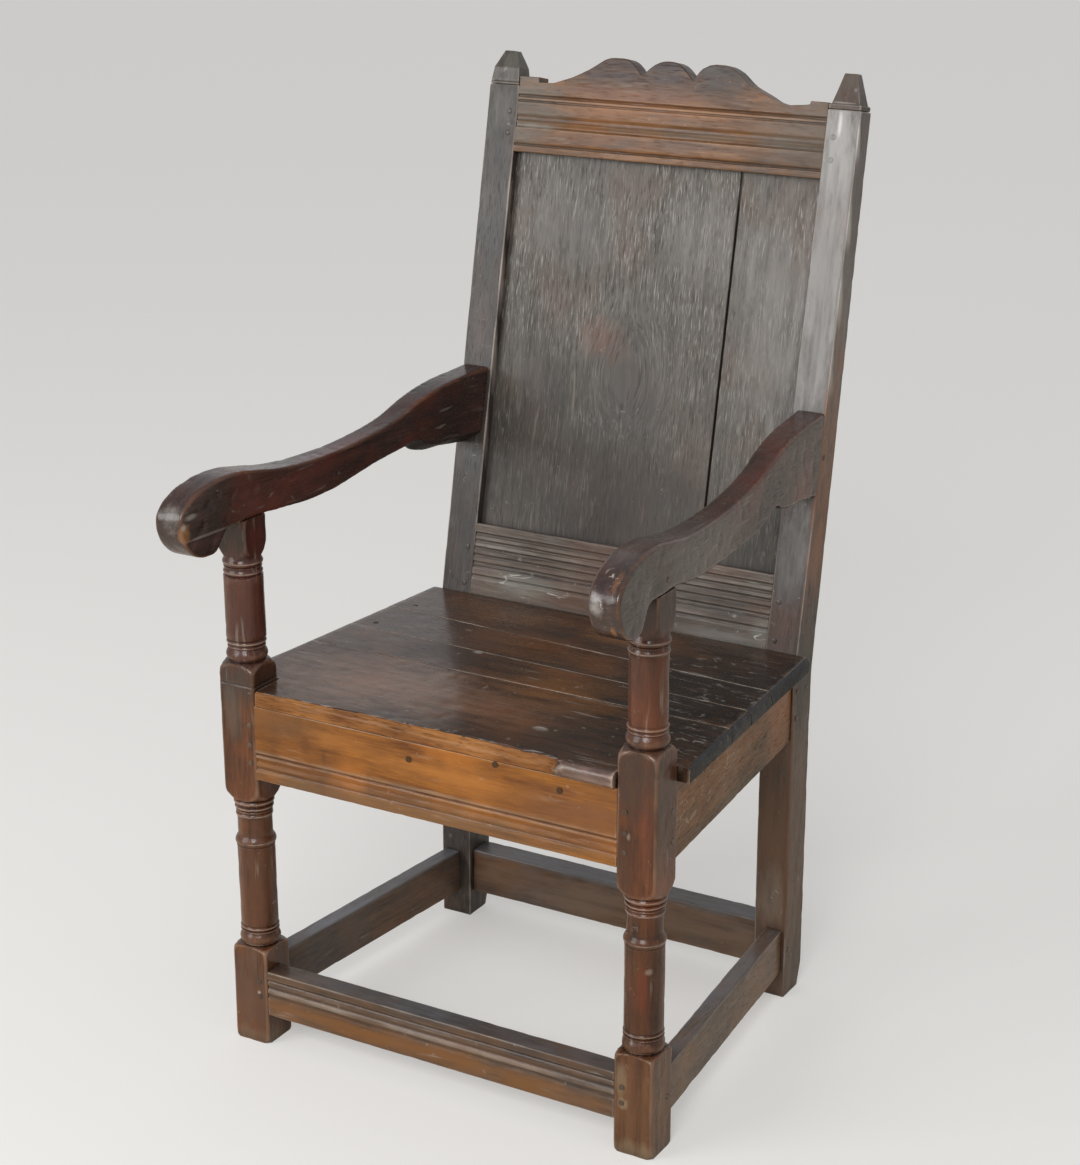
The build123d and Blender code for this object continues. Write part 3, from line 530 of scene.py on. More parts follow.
shift_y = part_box("front_leg_right")[0].y + 0.2295     # from the frame's middle to the origin
bend_z = 0.412
post_front = 0.1795 + shift_y
post_back = 0.2295 + shift_y
post_top_z = 1.060
back_slope = tan(radians(9.7))
front_slope = back_slope + 0.021 / (post_top_z - bend_z)
face_angle = radians(11.494)
worn_foot = 0.03                       # how high the foot's rear corner is worn

post_colours = dict(
    dark=(34, 26, 22), light=(105, 82, 70), worn=(520, 450, 400),
    blush=(125, 60, 40), figure=0.4, haze=(300, 300, 290), haze_share=0.18, gloss=0.34,
    wear=0.85, scuffs=0.4, scuffed=(380, 360, 340))
# On the right post the first four rows lay pale grey over its upper part and front, with a bright
# spot near the top: a painted sheen and glint.
post_marks = {1: marked("""
    224 275 900  44 120 330  370 362 352  0.72
    224 292 1010  22 60 70  460 450 440  0.6
    221 302 1040  3 10 18  750 730 700  0.8
    224 200 560  30 60 60  240 235 230  0.4
    250 310 940  9 120 200  120 90 85  0.9
    250 250 640  9 120 210  230 88 34  0.95
    250 190 410  9 90 90  50 38 28  0.8
    225 190 160  60 90 240  150 80 44  0.85
    222 172 130  24 12 44  240 190 150  0.5"""),
             -1: marked("""
    -200 250 800  8 120 330  45 13 10  0.9
    -226 250 780  34 160 380  36 34 31  0.9
    -224 300 1030  14 14 26  160 150 140  0.45
    -226 250 760  14 30 60  110 65 55  0.5""")}
post_over = {1: marked("""
    245 172 220  6 12 220  130 62 34  0.9
    245.5 298 1030  2.5 8 28  620 600 570  0.85
    245.5 280 945  2.2 9 42  600 580 550  0.75
    245.5 262 858  2.2 9 40  560 540 510  0.7
    245.5 246 775  2 9 36  520 500 470  0.6"""),
             -1: marked("""
    -204.5 277 930  1.6 10 60  560 470 420  0.8
    -204.5 259 838  1.6 10 60  540 450 400  0.75
    -204.5 239 742  1.6 10 60  500 420 370  0.75
    -204.5 219 644  1.4 10 50  440 370 330  0.6""")}

for side, word in both_sides:
    low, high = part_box("rear_post_" + word)
    post = stock("raked_post_" + word, (low.x, post_front, 0.0), (high.x, post_back, post_top_z),
                 2.0, (8, 9, 9))
    for vertex in post.data.vertices:
        above = vertex.co.z - bend_z
        depth = (vertex.co.y - post_front) / (post_back - post_front)
        if above > 0:
            front = post_front + above * front_slope
            back = post_back + above * back_slope
            share = above / (post_top_z - bend_z)
            vertex.co.y = front + depth * (back - front)
            vertex.co.z -= 0.0054 * depth * share
        if vertex.co.z < worn_foot and depth > 0.6:
            vertex.co.y -= (worn_foot - vertex.co.z) * 0.35 * (depth - 0.6) / 0.4
    post.data.update()
    dressed(post, 0.6, 1, 12 if side > 0 else 17, 50, (radians(8), 0, 0), (side * 0.21, 0.4, 0.3),
            marks=post_marks[side], over=post_over[side], **post_colours)
    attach(post, "root")
    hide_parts("rear_post_" + word)

# ---------------------------------------------------------------- finials
# A small square block with a tall four-sided pyramid cut off flat, one on each
# post, pinned with a dowel that stays out of sight.
def line_at(points, along):
    """The height of a line of (along, height) points at one place."""
    for (a0, h0), (a1, h1) in zip(points, points[1:]):
        if a0 <= along <= a1:
            return h0 + (h1 - h0) * (along - a0) / (a1 - a0)
    return points[0][1] if along < points[0][0] else points[-1][1]


# how wide each finial is at a height, as a share of the post; the right one has
# a straight pyramid on a thin base, the left one a taller block
finial_outline = {
    1: [(0, 0.96), (1, 1), (5.4, 1), (6.6, 0.87), (41, 0.4)],
    -1: [(0, 0.95), (1, 1), (2.8, 1), (3.4, 0.955), (4.2, 0.985), (21, 0.87), (41, 0.4)]}
post_lean = radians(10.597)
post_top_middle = (post_front + (post_top_z - bend_z) * front_slope + 0.0140, post_top_z - 0.0027)
finial_marks = marked("""
    0 320 1085  300 60 60  120 116 100  0.75
    225 299 1067  20 12 1.6  620 580 520  0.7""")

for side, word in both_sides:
    low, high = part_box("finial_" + word)
    finial = stock("pyramid_finial_" + word, (-0.020, -0.0145, 0.0), (0.020, 0.0145, 0.041), 1.2,
                   (5, 5, 3), 2)
    slices(finial, 2, [height * mm for height, width in finial_outline[side][1:-1]])
    for vertex in finial.data.vertices:
        width = line_at(finial_outline[side], vertex.co.z / mm)
        vertex.co.x *= width
        vertex.co.y *= width
    finial.rotation_euler = (-post_lean, 0, 0)
    finial.location = ((low.x + high.x) / 2, *post_top_middle)
    hold(finial)
    bpy.ops.object.transform_apply()
    dressed(finial, 0.3, 0.6, 21 if side > 0 else 25, 40, (post_lean, 0, 0),
            (side * 0.11, 0.3, 0.3), marks=finial_marks, **post_colours)
    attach(finial, "root")
    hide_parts("finial_" + word)

# ---------------------------------------------------------------- top rail
# One oak board tenoned between the posts: mouldings run along it with a
# scratch stock, and its top sawn to a cresting of one middle lobe between two
# wider ones that sweep down to square lugs.
rail_half = 0.2035
back_thick = 0.024                     # the back rails' boards
rail_up0 = (0.982 - bend_z) / cos(face_angle)
lug_up = (1.067 - bend_z) / cos(face_angle)
crest_up = (1.100 - bend_z) / cos(face_angle)


def moulded(piece, face, profile):
    """Runs a moulding along the face at y = face: each (height, depth) is a line pushed in."""
    slices(piece, 2, [height for height, depth in profile])
    for vertex in piece.data.vertices:
        if vertex.co.y > face + 0.0012:
            continue
        for (z0, d0), (z1, d1) in zip(profile, profile[1:]):
            if z0 - 1e-6 <= vertex.co.z <= z1 + 1e-6:
                share = (vertex.co.z - z0) / max(z1 - z0, 1e-9)
                vertex.co.y += d0 + (d1 - d0) * share
                break
    piece.data.update()


def to_back(piece):
    """Leans a piece drawn upright, its face at y = 0 and up from the bend, with the back."""
    piece.rotation_euler = (-face_angle, 0, 0)
    piece.location = (0, post_front, bend_z)
    hold(piece)
    bpy.ops.object.transform_apply()


# the cresting's sawn edge: place along the board, height above the right lug
crest_line = [
    (-204, 4), (-177.5, 4.3), (-177, -1.8), (-165, -1.7), (-157, -0.9), (-148, 1.6), (-134.6, 6),
    (-121.5, 11.6), (-108.5, 18.2), (-96, 26.2), (-89.6, 30.2), (-83, 32.6), (-76, 33.3),
    (-66, 33.4), (-60, 32.8), (-55.9, 31.2), (-51.6, 28.6), (-47, 24.6), (-43.9, 20.9), (-40, 17),
    (-37.5, 15.2), (-33.1, 19.6), (-28.3, 24), (-22.2, 28.6), (-15.9, 31.6), (-9.5, 33.2),
    (-3, 33.4), (3.7, 33), (10.6, 30.6), (16.4, 26.5), (22.4, 20.7), (26.9, 15.8), (30, 13.6),
    (33.1, 18.3), (36.4, 23.2), (41, 27.8), (49.6, 32), (57, 33.4), (66, 33.4), (72.7, 32.8),
    (79.4, 30.6), (86.4, 26.7), (92.2, 22), (97.9, 17.2), (103.4, 13.4), (110.3, 10), (117, 7),
    (123.7, 4), (130.5, 0.6), (138.7, -3.4), (149, -5.7), (156.6, -6.2), (169, -5.2), (181, -3.8),
    (182, 0), (204, 0)]
seam_up = rail_up0 + 0.068
crest_corners = (-177.5, -177, -76, -60, -37.5, -3, 30, 57, 72.7, 181, 182)
top_rail = stock("cresting_rail", (-rail_half - 0.001, 0.0, rail_up0),
                 (rail_half + 0.001, back_thick, crest_up), 1.6, (3, 6, 5))
slices(top_rail, 0, [x * mm for x in crest_corners])
for vertex in top_rail.data.vertices:
    if vertex.co.z > seam_up:
        share = (vertex.co.z - seam_up) / (crest_up - seam_up)
        top = lug_up + line_at(crest_line, vertex.co.x / mm) * mm
        vertex.co.z = seam_up + share * (top - seam_up)
top_profile = [
    (0, 0), (7.5, 0), (8.3, 1.3), (10, 1.6), (11.2, 0.3), (12, 0), (29.5, 0), (30.3, 1.1), (32, 2),
    (34.5, 1.9), (36.2, 0.9), (37.2, 0.5), (38.3, 1.5), (40, 1.9), (43, 1.6), (45, 0.5), (46, 0),
    (60, 0), (61, 1.2), (62.4, 1.3), (63.4, 0.3), (65.6, 0.4), (66.6, 1.6), (68.2, 1.9),
    (69.4, 0.8), (70.2, 0)]
moulded(top_rail, 0.0, [(rail_up0 + height * mm, depth * mm) for height, depth in top_profile])
to_back(top_rail)
top_rail_marks = marked("""
    -10 305 1106  210 60 58  36 18 14  1
    -30 305 1056  110 60 16  220 90 45  0.5
    80 305 1090  50 60 34  60 46 38  0.7
    -196 300 1030  62 60 60  125 115 95  0.8
    200 300 1020  95 60 70  125 105 85  0.75
    60 295 1018  150 60 6  170 145 120  0.6
    -180 295 1014  40 60 5  400 380 340  0.5
    20 298 1004  190 60 3  100 46 20  0.7
    -10 298 1042  120 60 8  380 160 60  0.5""")
dressed(top_rail, 0.4, 0.6, 31, 40, ALONG_X, (0.1, 0.15, 0.6), dark=(76, 29, 9),
        light=(262, 116, 38), worn=(380, 250, 160), blush=(305, 118, 28),
        figure=0.3, open_grain=0.15, coat=0.1, haze=(300, 270, 250), haze_share=0.08, wear=0.7,
        scuffs=0.25, marks=top_rail_marks)
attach(top_rail, "root")
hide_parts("top_rail")

# ---------------------------------------------------------------- lower back rail
# Oak, tenoned between the posts just above the seat, with three pairs of
# scratched lines at its top and one more below a flat band.
lower_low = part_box("rear_seat_rail")[1].z + 0.002 + back_thick * sin(face_angle)
lower_up0 = (lower_low - bend_z) / cos(face_angle)
lower_up1 = (0.53177 - bend_z) / cos(face_angle)
lower_rail = stock("lower_back_rail_moulded", (-rail_half - 0.001, 0.0, lower_up0),
                   (rail_half + 0.001, back_thick, lower_up1), 1.6, (7, 8, 7))
lower_profile = [(0, 0)]
for drop in (66, 54, 49.5, 40, 31, 22, 13):
    deep = 1.5 if drop < 50 else 1.2
    lower_profile += [(-drop - 2.6, 0), (-drop - 1.2, deep * 0.8), (-drop + 0.2, deep),
                      (-drop + 1.6, deep * 0.7), (-drop + 2.6, 0)]
lower_profile = sorted(lower_profile) + [(-6, 0)]
lower_profile = [(lower_up1 + height * mm, depth * mm) for height, depth in lower_profile
                 if height < -5]
moulded(lower_rail, 0.0, lower_profile)
to_back(lower_rail)
lower_rail_marks = marked("""
    -125 184 466  50 12 14  260 260 225  0.55
    195 184 468  14 12 14  240 235 215  0.5
    150 180 450  70 12 10  240 235 215  0.5
    -30 182 458  70 12 12  120 45 14  0.6""")
lower_rail_scratches = marked("""
    -120 184 468  60 14 20  600 600 540  1
    185 184 468  36 14 18  580 570 520  0.9""")
dressed(lower_rail, 0.5, 0.7, 37, 40, ALONG_X, (0.5, 0.15, 0.2), dark=(50, 32, 24),
        light=(175, 130, 98), worn=(360, 320, 280), blush=(160, 85, 55),
        figure=0.35, open_grain=0.3, haze=(360, 350, 330), haze_share=0.35, gloss=0.38,
        wear=0.7, scuffs=0.4, scuffed=(380, 370, 330), marks=lower_rail_marks,
        scratches=lower_rail_scratches)
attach(lower_rail, "root")
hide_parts("lower_back_rail")

# ---------------------------------------------------------------- back panel
# Two thin riven oak boards held loose in the frame's grooves, shrunk apart at
# their joint.  The wide one has a knot, and the wax has worn off the grain.
# The last three rows make the boards paler towards the top and on the narrow board: a painted
# sheen.
panel_marks = marked("""
    -63 256 770  34 20 28  190 85 60  0.5
    -150 240 660  30 30 90  85 60 54  0.5
    -10 236 700  60 30 45  55 46 42  0.55
    20 225 600  90 40 60  45 38 34  0.5
    -60 225 590  160 40 90  62 50 44  0.45
    -120 280 905  80 30 60  200 190 180  0.45
    60 280 900  60 30 70  220 205 190  0.45
    160 265 860  60 40 200  270 255 240  0.6""")
panel_colours = dict(
    dark=(39, 33, 27), light=(138, 121, 101), worn=(220, 190, 170),
    blush=(125, 78, 60), figure=0.35, haze=(255, 260, 240), haze_share=0.25,
    open_grain=0.5, gloss=0.4, coat=0.08, wear=0.35, scuffs=0.3, chalk_and_sheen=0.7, ring_scale=22,
    contrast=0.75, knot=((-25, 245, 735), (75, 60, 95)), marks=panel_marks)
panel_up0 = lower_up1 - 0.0079
panel_up1 = rail_up0 + 0.007
for node_name, x0, x1, name in (("panel_board_wide", -0.2105, 0.0992, "panel_wide_riven"),
                                ("panel_board_narrow", 0.1018, 0.2105, "panel_narrow_riven")):
    board = stock(name, (x0, 0.012, panel_up0), (x1, 0.021, panel_up1), 1.0, (7, 5, 9), 2)
    for vertex in board.data.vertices:
        across = (vertex.co.x - x0) / (x1 - x0)
        vertex.co.y += 0.0006 * sin(across * pi) * (1 if x0 < 0 else -1)
    if x0 > 0:
        lap = stock("lap", (x0 - 0.0036, 0.0185, panel_up0),
                    (x0 + 0.002, 0.0208, panel_up1 - 0.045), 0.3, (3, 3, 20), 1)
        hold(board)
        lap.select_set(True)
        bpy.ops.object.join()
    to_back(board)
    dressed(board, 0.5, 0.5, 41 if x0 < 0 else 44, 40, (face_angle, 0, 0), (x0, 0.7, 0.4),
            **panel_colours)
    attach(board, "root")
    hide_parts(node_name)

# ---------------------------------------------------------------- seat rails
# Four deep oak rails tenoned into legs and posts.  The front one is moulded
# along its lower edge.
seat_under = 0.427
rail_low = seat_under - 0.090
leg_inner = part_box("front_leg_right")[0].x
leg_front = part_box("front_leg_right")[0].y
leg_back = leg_front + 0.048
leg_outer, post_outer = 0.278, 0.2455
front_face = leg_front + 0.001         # rails and stretchers sit just behind the legs' faces
front_rail = stock("front_rail_moulded", (-leg_inner - 0.006, front_face, rail_low),
                   (leg_inner + 0.001, leg_front + 0.030, seat_under), 1.5, (7, 8, 7))
front_profile = [
    (0, 0), (12.4, 0), (13.6, 1.2), (15.2, 1.6), (17, 1), (19, 0.4), (21.4, 0.7), (22.8, 1.4),
    (24.4, 1.6), (26.4, 0.9), (28.4, 0.2), (30, 0.5), (31.4, 1.6), (32.8, 1.2), (34, 0)]
moulded(front_rail, front_face, [(rail_low + height * mm, depth * mm)
                                 for height, depth in front_profile])
front_rail_marks = marked("""
    0 -237 344  290 10 20  170 105 58  0.6
    0 -237 371  300 10 4  360 260 180  0.5
    -165 -237 396  6 10 14  150 45 10  0.6
    -140 -237 385  3 10 8  100 35 10  0.6
    -200 -237 415  60 10 16  200 90 30  0.5
    150 -237 385  120 10 24  170 60 16  0.5
    30 -237 398  100 10 16  500 190 36  0.5
    -100 -237 408  60 10 12  480 180 34  0.5
    200 -237 388  70 10 34  200 82 34  0.7""")
dressed(front_rail, 0.5, 0.7, 51, 40, ALONG_X, (0.3, 0.45, 0.9), dark=(140, 40, 4),
        light=(380, 140, 18), worn=(500, 340, 220), blush=(500, 170, 22), figure=0.3,
        open_grain=0.2, haze=(300, 250, 200), haze_share=0.03, gloss=0.28, coat=0.12, wear=0.8,
        scuffs=0.3, scuffed=(500, 360, 240), marks=front_rail_marks)
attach(front_rail, "root")
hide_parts("front_seat_rail")

side_marks = marked("""
    270 -60 400  30 200 40  270 105 22  0.6
    263 0 341  30 200 14  70 52 28  0.6""")
side_scratches = marked("272 -60 385  20 190 40  460 330 220  0.6")
side_colours = dict(
    dark=(78, 30, 7), light=(270, 108, 24), worn=(400, 280, 180),
    blush=(310, 100, 14), figure=0.35, open_grain=0.3, haze_share=0.03, coat=0.08, wear=0.8,
    scuffs=0.25, scuffed=(400, 280, 180), marks=side_marks, scratches=side_scratches)


def skewed(piece, y0, y1, front_x, rear_x):
    """Slides a timber drawn square sideways, so that it follows the chair's splay."""
    for vertex in piece.data.vertices:
        share = (vertex.co.y - y0) / (y1 - y0)
        vertex.co.x += front_x + (rear_x - front_x) * share
    piece.data.update()


for side, word in both_sides:
    rail = stock("side_rail_" + word, (-0.012, leg_back - 0.001, rail_low),
                 (0.012, post_front + 0.001, seat_under), 1.8, (8, 9, 9))
    skewed(rail, leg_back, post_front, side * (leg_outer - 0.003 - 0.012),
           side * (post_outer - 0.003 - 0.012))
    dressed(rail, 0.6, 0.9, 55 + side, 45, ALONG_Y, (side * 0.2, 0.1, 0.5), **side_colours)
    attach(rail, "root")
    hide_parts("side_seat_rail_" + word)

rear_rail = stock("rear_rail_plain", (-rail_half - 0.001, post_front + 0.002, rail_low),
                  (rail_half + 0.001, post_front + 0.032, seat_under), 1.8, (9, 8, 9))
dressed(rear_rail, 0.8, 1, 61, 45, ALONG_X, (0.8, 0.3, 0.5), **side_colours)
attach(rear_rail, "root")
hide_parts("rear_seat_rail")

# ---------------------------------------------------------------- stretchers
# Four low oak stretchers, tenoned and pegged near the floor.  The front one
# is moulded above a plain lower half, the tops are rubbed by feet.
stretcher_low = 0.038
front_stretcher = stock("front_stretcher_moulded", (-leg_inner - 0.001, front_face, stretcher_low),
                        (leg_inner + 0.001, leg_front + 0.029, stretcher_low + 0.057), 1.8,
                        (7, 7, 7))
stretcher_profile = [
    (0, 0), (22, 0), (24, 0.9), (26.4, 1.6), (28.6, 0.9), (30, 0), (34, 0.2), (35.6, 1.5),
    (37.6, 1.7), (39.6, 0.9), (41, 0.1), (43.6, 0.3), (45.2, 1.5), (46.6, 1.2), (48, 0)]
moulded(front_stretcher, front_face, [(stretcher_low + height * mm, depth * mm)
                                      for height, depth in stretcher_profile])
# The bluish grey on their tops is dust, with a painted sheen of the pale room.
stretcher_colours = dict(
    dark=(46, 24, 12), light=(165, 88, 44), worn=(380, 310, 250),
    blush=(220, 98, 36), figure=0.4, open_grain=0.3, haze=(210, 215, 235),
    haze_share=1.1, wear=0.9, scuffs=0.4, scuffed=(360, 320, 280))
front_stretcher_marks = marked("""
    -60 -236 52  200 12 15  215 84 18  0.95
    150 -236 48  110 12 14  205 86 22  0.9
    60 -236 74  120 12 6  200 90 40  0.5
    0 -222 95  300 18 5  30 30 32  0.7""")
dressed(front_stretcher, 0.6, 0.9, 65, 40, ALONG_X, (0.2, 0.9, 0.1), marks=front_stretcher_marks,
        **(stretcher_colours | dict(haze_share=0.5)))
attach(front_stretcher, "root")
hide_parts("front_stretcher")

# A bluish-grey band along the stretchers' tops: dust, with a painted sheen.
dust_and_sheen_tops = marked("0 0 92  400 400 7  145 153 165  0.8")
rear_stretcher_marks = marked("60 180 60  260 20 34  215 130 80  0.8")
for side, word in both_sides:
    stretcher = stock("side_stretcher_plain_" + word, (-0.011, leg_back - 0.001, 0.033),
                      (0.011, post_front + 0.001, 0.090), 2.0, (8, 9, 8))
    skewed(stretcher, leg_back, post_front, side * (leg_outer - 0.005 - 0.011),
           side * (post_outer - 0.005 - 0.011))
    dressed(stretcher, 0.8, 1, 71 + side, 45, ALONG_Y, (side * 0.4, 0.3, 0.2), over=dust_and_sheen_tops,
            **stretcher_colours)
    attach(stretcher, "root")
    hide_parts("side_stretcher_" + word)

rear_stretcher = stock("rear_stretcher_plain", (-rail_half - 0.001, post_front + 0.008, 0.033),
                       (rail_half + 0.001, post_front + 0.042, 0.092), 2.0, (9, 9, 8))
dressed(rear_stretcher, 0.8, 1, 77, 45, ALONG_X, (0.6, 0.3, 0.9), marks=rear_stretcher_marks,
        over=dust_and_sheen_tops, **stretcher_colours)
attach(rear_stretcher, "root")
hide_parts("rear_stretcher")

# ---------------------------------------------------------------- seat
# Four oak boards laid across the seat rails and nailed, their joints open and
# their ends rounded.  The front board is notched round the legs, and most of
# its nosing has split off.
seat_top = 0.445
seat_colours = dict(
    dark=(34, 16, 9), light=(125, 56, 26), worn=(460, 350, 270),
    blush=(220, 80, 22), figure=0.35, open_grain=0.3, haze=(220, 200, 190),
    haze_share=0.08, gloss=0.22, coat=0.5, wear=0.85, scuffs=0.45, scuffed=(380, 340, 300))
# The first row is a painted sheen on the seat's front left, and the seventh paints the right part
# near-black where the glossy seat mirrors the right arm and the back: a painted reflection.
seat_marks = marked("""
    -85 -140 445  200 76 40  285 150 92  0.6
    208 -244 438  56 14 20  270 170 145  0.75
    100 -169 445  9 5 8  550 470 420  0.9
    110 -66 445  120 60 40  260 105 28  0.7
    -60 50 445  120 40 40  200 70 20  0.6
    60 130 445  70 30 30  280 115 30  0.6
    235 0 445  150 230 60  9 7 6  1
    -200 60 445  120 90 60  35 28 24  0.6
    -82 0 445  7 4 8  450 420 380  0.8
    170 62 445  20 5 8  420 390 350  0.6
    262 -186 440  16 8 20  360 280 260  0.6""")
seat_scratches = marked("""
    195 40 445  110 130 20  360 320 290  0.6
    236 -120 445  46 70 20  420 380 350  0.7""")
end_grain = oak(
    "oak_seat_ends", ALONG_X, (0.6, 0.5, 0.1), dark=(16, 15, 15),
    light=(50, 47, 47), worn=(160, 140, 130), blush=(45, 34, 30), figure=0.3,
    haze=(160, 160, 170), haze_share=0.3, gloss=0.5, coat=0, wear=0.4, scuffs=0.2)
split_colours = dict(
    dark=(160, 52, 10), light=(400, 165, 40), worn=(520, 360, 240),
    blush=(460, 190, 50), figure=0.3, open_grain=0.6, haze_share=0, gloss=0.55, coat=0,
    wear=0.35, scuffs=0.15, scuffed=(500, 360, 240))
seat_wide, seat_narrow = 0.291, 0.2625
board_half = 0.29                      # half a board's length, before it follows the splay
seat_front = leg_front - 0.006
nose = 7.0                             # the nosing's radius, in millimetres
split_back = 0.026                     # how far back the split moves the wood


def seat_half(y):
    return seat_wide - (y - leg_back) * (seat_wide - seat_narrow) / (post_front - leg_back)


def end_top(middle):
    return abs(middle.x) > board_half - 0.001 and middle.z > seat_top - 1e-5


def front_edge(middle):
    return abs(middle.x) < 0.01 and middle.y < seat_front + 1e-5


def split_away(spot):
    """Moves a place on the front board's nosing back to where the wood split."""
    whole = limited((spot.x - 0.150 - 0.008 * noise.noise(spot * 160)) / 0.016)
    if spot.y > seat_front + split_back or whole >= 1.0:
        return spot.y
    way = limited((spot.x + 0.23) / 0.38)
    arris = 0.4422 - 0.0085 * way + 0.0013 * noise.noise(Vector((spot.x * 26, 0.0, 3.0)))
    depth = 0.0030 + 0.0085 * way + 0.0028 * noise.noise(Vector((spot.x * 17, 5.0, 0.0)))
    split = leg_front + 0.0007
    if spot.z > arris:
        split += depth * (spot.z - arris) / (seat_top - arris)
        split += 0.0011 * noise.noise(Vector((spot.x * 60, 1.0, spot.z * 900)))
    along = (spot.y - seat_front - nose * mm) / (split_back - nose * mm)
    if along > 0:
        split += along * (seat_front + split_back - split)
    return split + (spot.y - split) * whole * whole * (3 - 2 * whole)


def worked(piece, kind, **settings):
    """Gives a piece a modifier and applies it."""
    modifier = piece.modifiers.new(kind, kind)
    for key, value in settings.items():
        setattr(modifier, key, value)
    hold(piece)
    bpy.ops.object.modifier_apply(modifier=modifier.name)


gap = 0.0004                           # half of each open joint
notch_y = leg_back + 0.0012
rear_y = 0.1861 + shift_y
# the left and right end of each joint, from the frame's middle
joints = [(left + shift_y, right + shift_y)
          for left, right in ((-0.054, -0.059), (0.018, -0.002), (0.095, 0.063))]
boards = [("seat_board_front", "seat_front_nosed", (seat_front, seat_front), joints[0]),
          ("seat_board_middle_front", "seat_second", joints[0], joints[1]),
          ("seat_board_middle_back", "seat_third", joints[1], joints[2]),
          ("seat_board_back", "seat_rearmost", joints[2], (rear_y, rear_y))]
for number, (node_name, name, front_line, back_line) in enumerate(boards):
    first, last = sum(front_line) / 2, sum(back_line) / 2
    rounded = [(end_top, 9.0, 4)]
    if number == 0:
        rounded = [(front_edge, nose, 5)] + rounded
    board = stock(name, (-board_half, first, seat_under), (board_half, last, seat_top), 1.0,
                  (4.5, 5.5, 3) if number == 0 else (8, 7, 6), 2, rounded)
    if number == 0:
        slices(board, 1, [seat_front + step * mm for step in (2, 4, 9, 12, 15, 18, 22, 26)])
    for vertex in board.data.vertices:
        across = vertex.co.x / (2 * board_half) + 0.5
        back = (vertex.co.y - first) / (last - first)
        front_at = front_line[0] + (front_line[1] - front_line[0]) * across
        front_at += gap if number else 0.0
        back_at = back_line[0] + (back_line[1] - back_line[0]) * across - gap
        vertex.co.y = front_at + back * (back_at - front_at)
        vertex.co.x = vertex.co.x / board_half * seat_half(vertex.co.y)
    if number == 0:
        for side, inner in ((1, leg_inner - 0.0012), (-1, leg_inner + 0.0022)):
            begin()
            bpy.ops.mesh.primitive_cube_add(size=1)
            saw = bpy.context.object
            saw.location = (side * (inner + 0.05), (seat_front - 0.01 + notch_y) / 2, 0.436)
            saw.scale = (0.1, notch_y - seat_front + 0.01, 0.05)
            worked(board, "BOOLEAN", operation="DIFFERENCE", solver="EXACT", object=saw)
            bpy.data.objects.remove(saw)
        for vertex in board.data.vertices:
            vertex.co.y = split_away(vertex.co)
        board.data.update()
    dressed(board, 0.5, 0.8, 81 + 3 * number, 45, ALONG_X, (0.3 * number, 0.4, 0.2 * number),
            marks=seat_marks, scratches=seat_scratches, **seat_colours)
    faced(board, end_grain, lambda face: abs(face.normal.x) > 0.25
          and abs(face.center.x) > seat_half(face.center.y) - 0.0085)
    if number == 0:
        faced(board, oak("oak_split_nosing", ALONG_X, (0.9, 0.2, 0.6), **split_colours),
              lambda face: face.center.y < leg_front + 0.009 and face.center.x < 0.156
              and face.normal.y < -0.25 and face.center.z < seat_top - 0.0008)
    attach(board, "root")
    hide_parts(node_name)

# ---------------------------------------------------------------- arms
# Each is sawn from one thick oak board, dressed thinner in its length, with a
# scrolled hand-hold over the front leg, and tenoned into the rear post.
arm_z = 0.643
leg_axis_y = leg_front + 0.024
past = (post_front + (arm_z - bend_z) * front_slope - leg_axis_y) / mm
# the arm's outline: y from the leg's axis and z from the leg's top, in millimetres
arm_top = [
    (past + 40, 80.5), (past - 17, 78.5), (past - 72, 75), (past - 122, 65.5), (past - 164, 53),
    (past - 222, 44), (past - 302, 40), (55, 44), (10, 52), (-27, 57.5), (-75, 54)]
hand_hold = [
    (-104, 43), (-117.6, 30), (-120.6, 20), (-117.6, 3), (-107, -13), (-90, -24), (-74, -26.3),
    (-63, -24), (-54, -14), (-46, -5), (-37, -0.8), (-22.9, -0.5)]
arm_ends = [(past - 104, -3), (past - 50, -9.5), (past + 40, -21)]
arm_under = {
    1: [(22, -0.6), (45, -5), (92, -11), (past - 287, -12.2), (past - 225, -11.8),
        (past - 172, -8), (past - 140, -0.5), (past - 122, 4.5)],
    -1: [(22, -0.6), (45, -5), (92, -9), (past - 287, -7.5), (past - 225, -2), (past - 160, 4),
         (past - 122, 6.2)]}
# how much higher the left arm's lower inner edge is dressed, along the arm
dressed_off = [
    (22, 0), (60, 4), (150, 4), (226, 10), (285, 11), (323, 12), (353, 11), (407, 16), (480, 19)]
arm_colours = dict(
    dark=(22, 11, 9), light=(84, 34, 26), worn=(330, 145, 64),
    blush=(155, 30, 16), figure=0.3, open_grain=0.4, haze=(200, 190, 190),
    haze_share=0.14, gloss=0.24, coat=0.5, wear=0.65, scuffs=0.3, scuffed=(400, 360, 320))
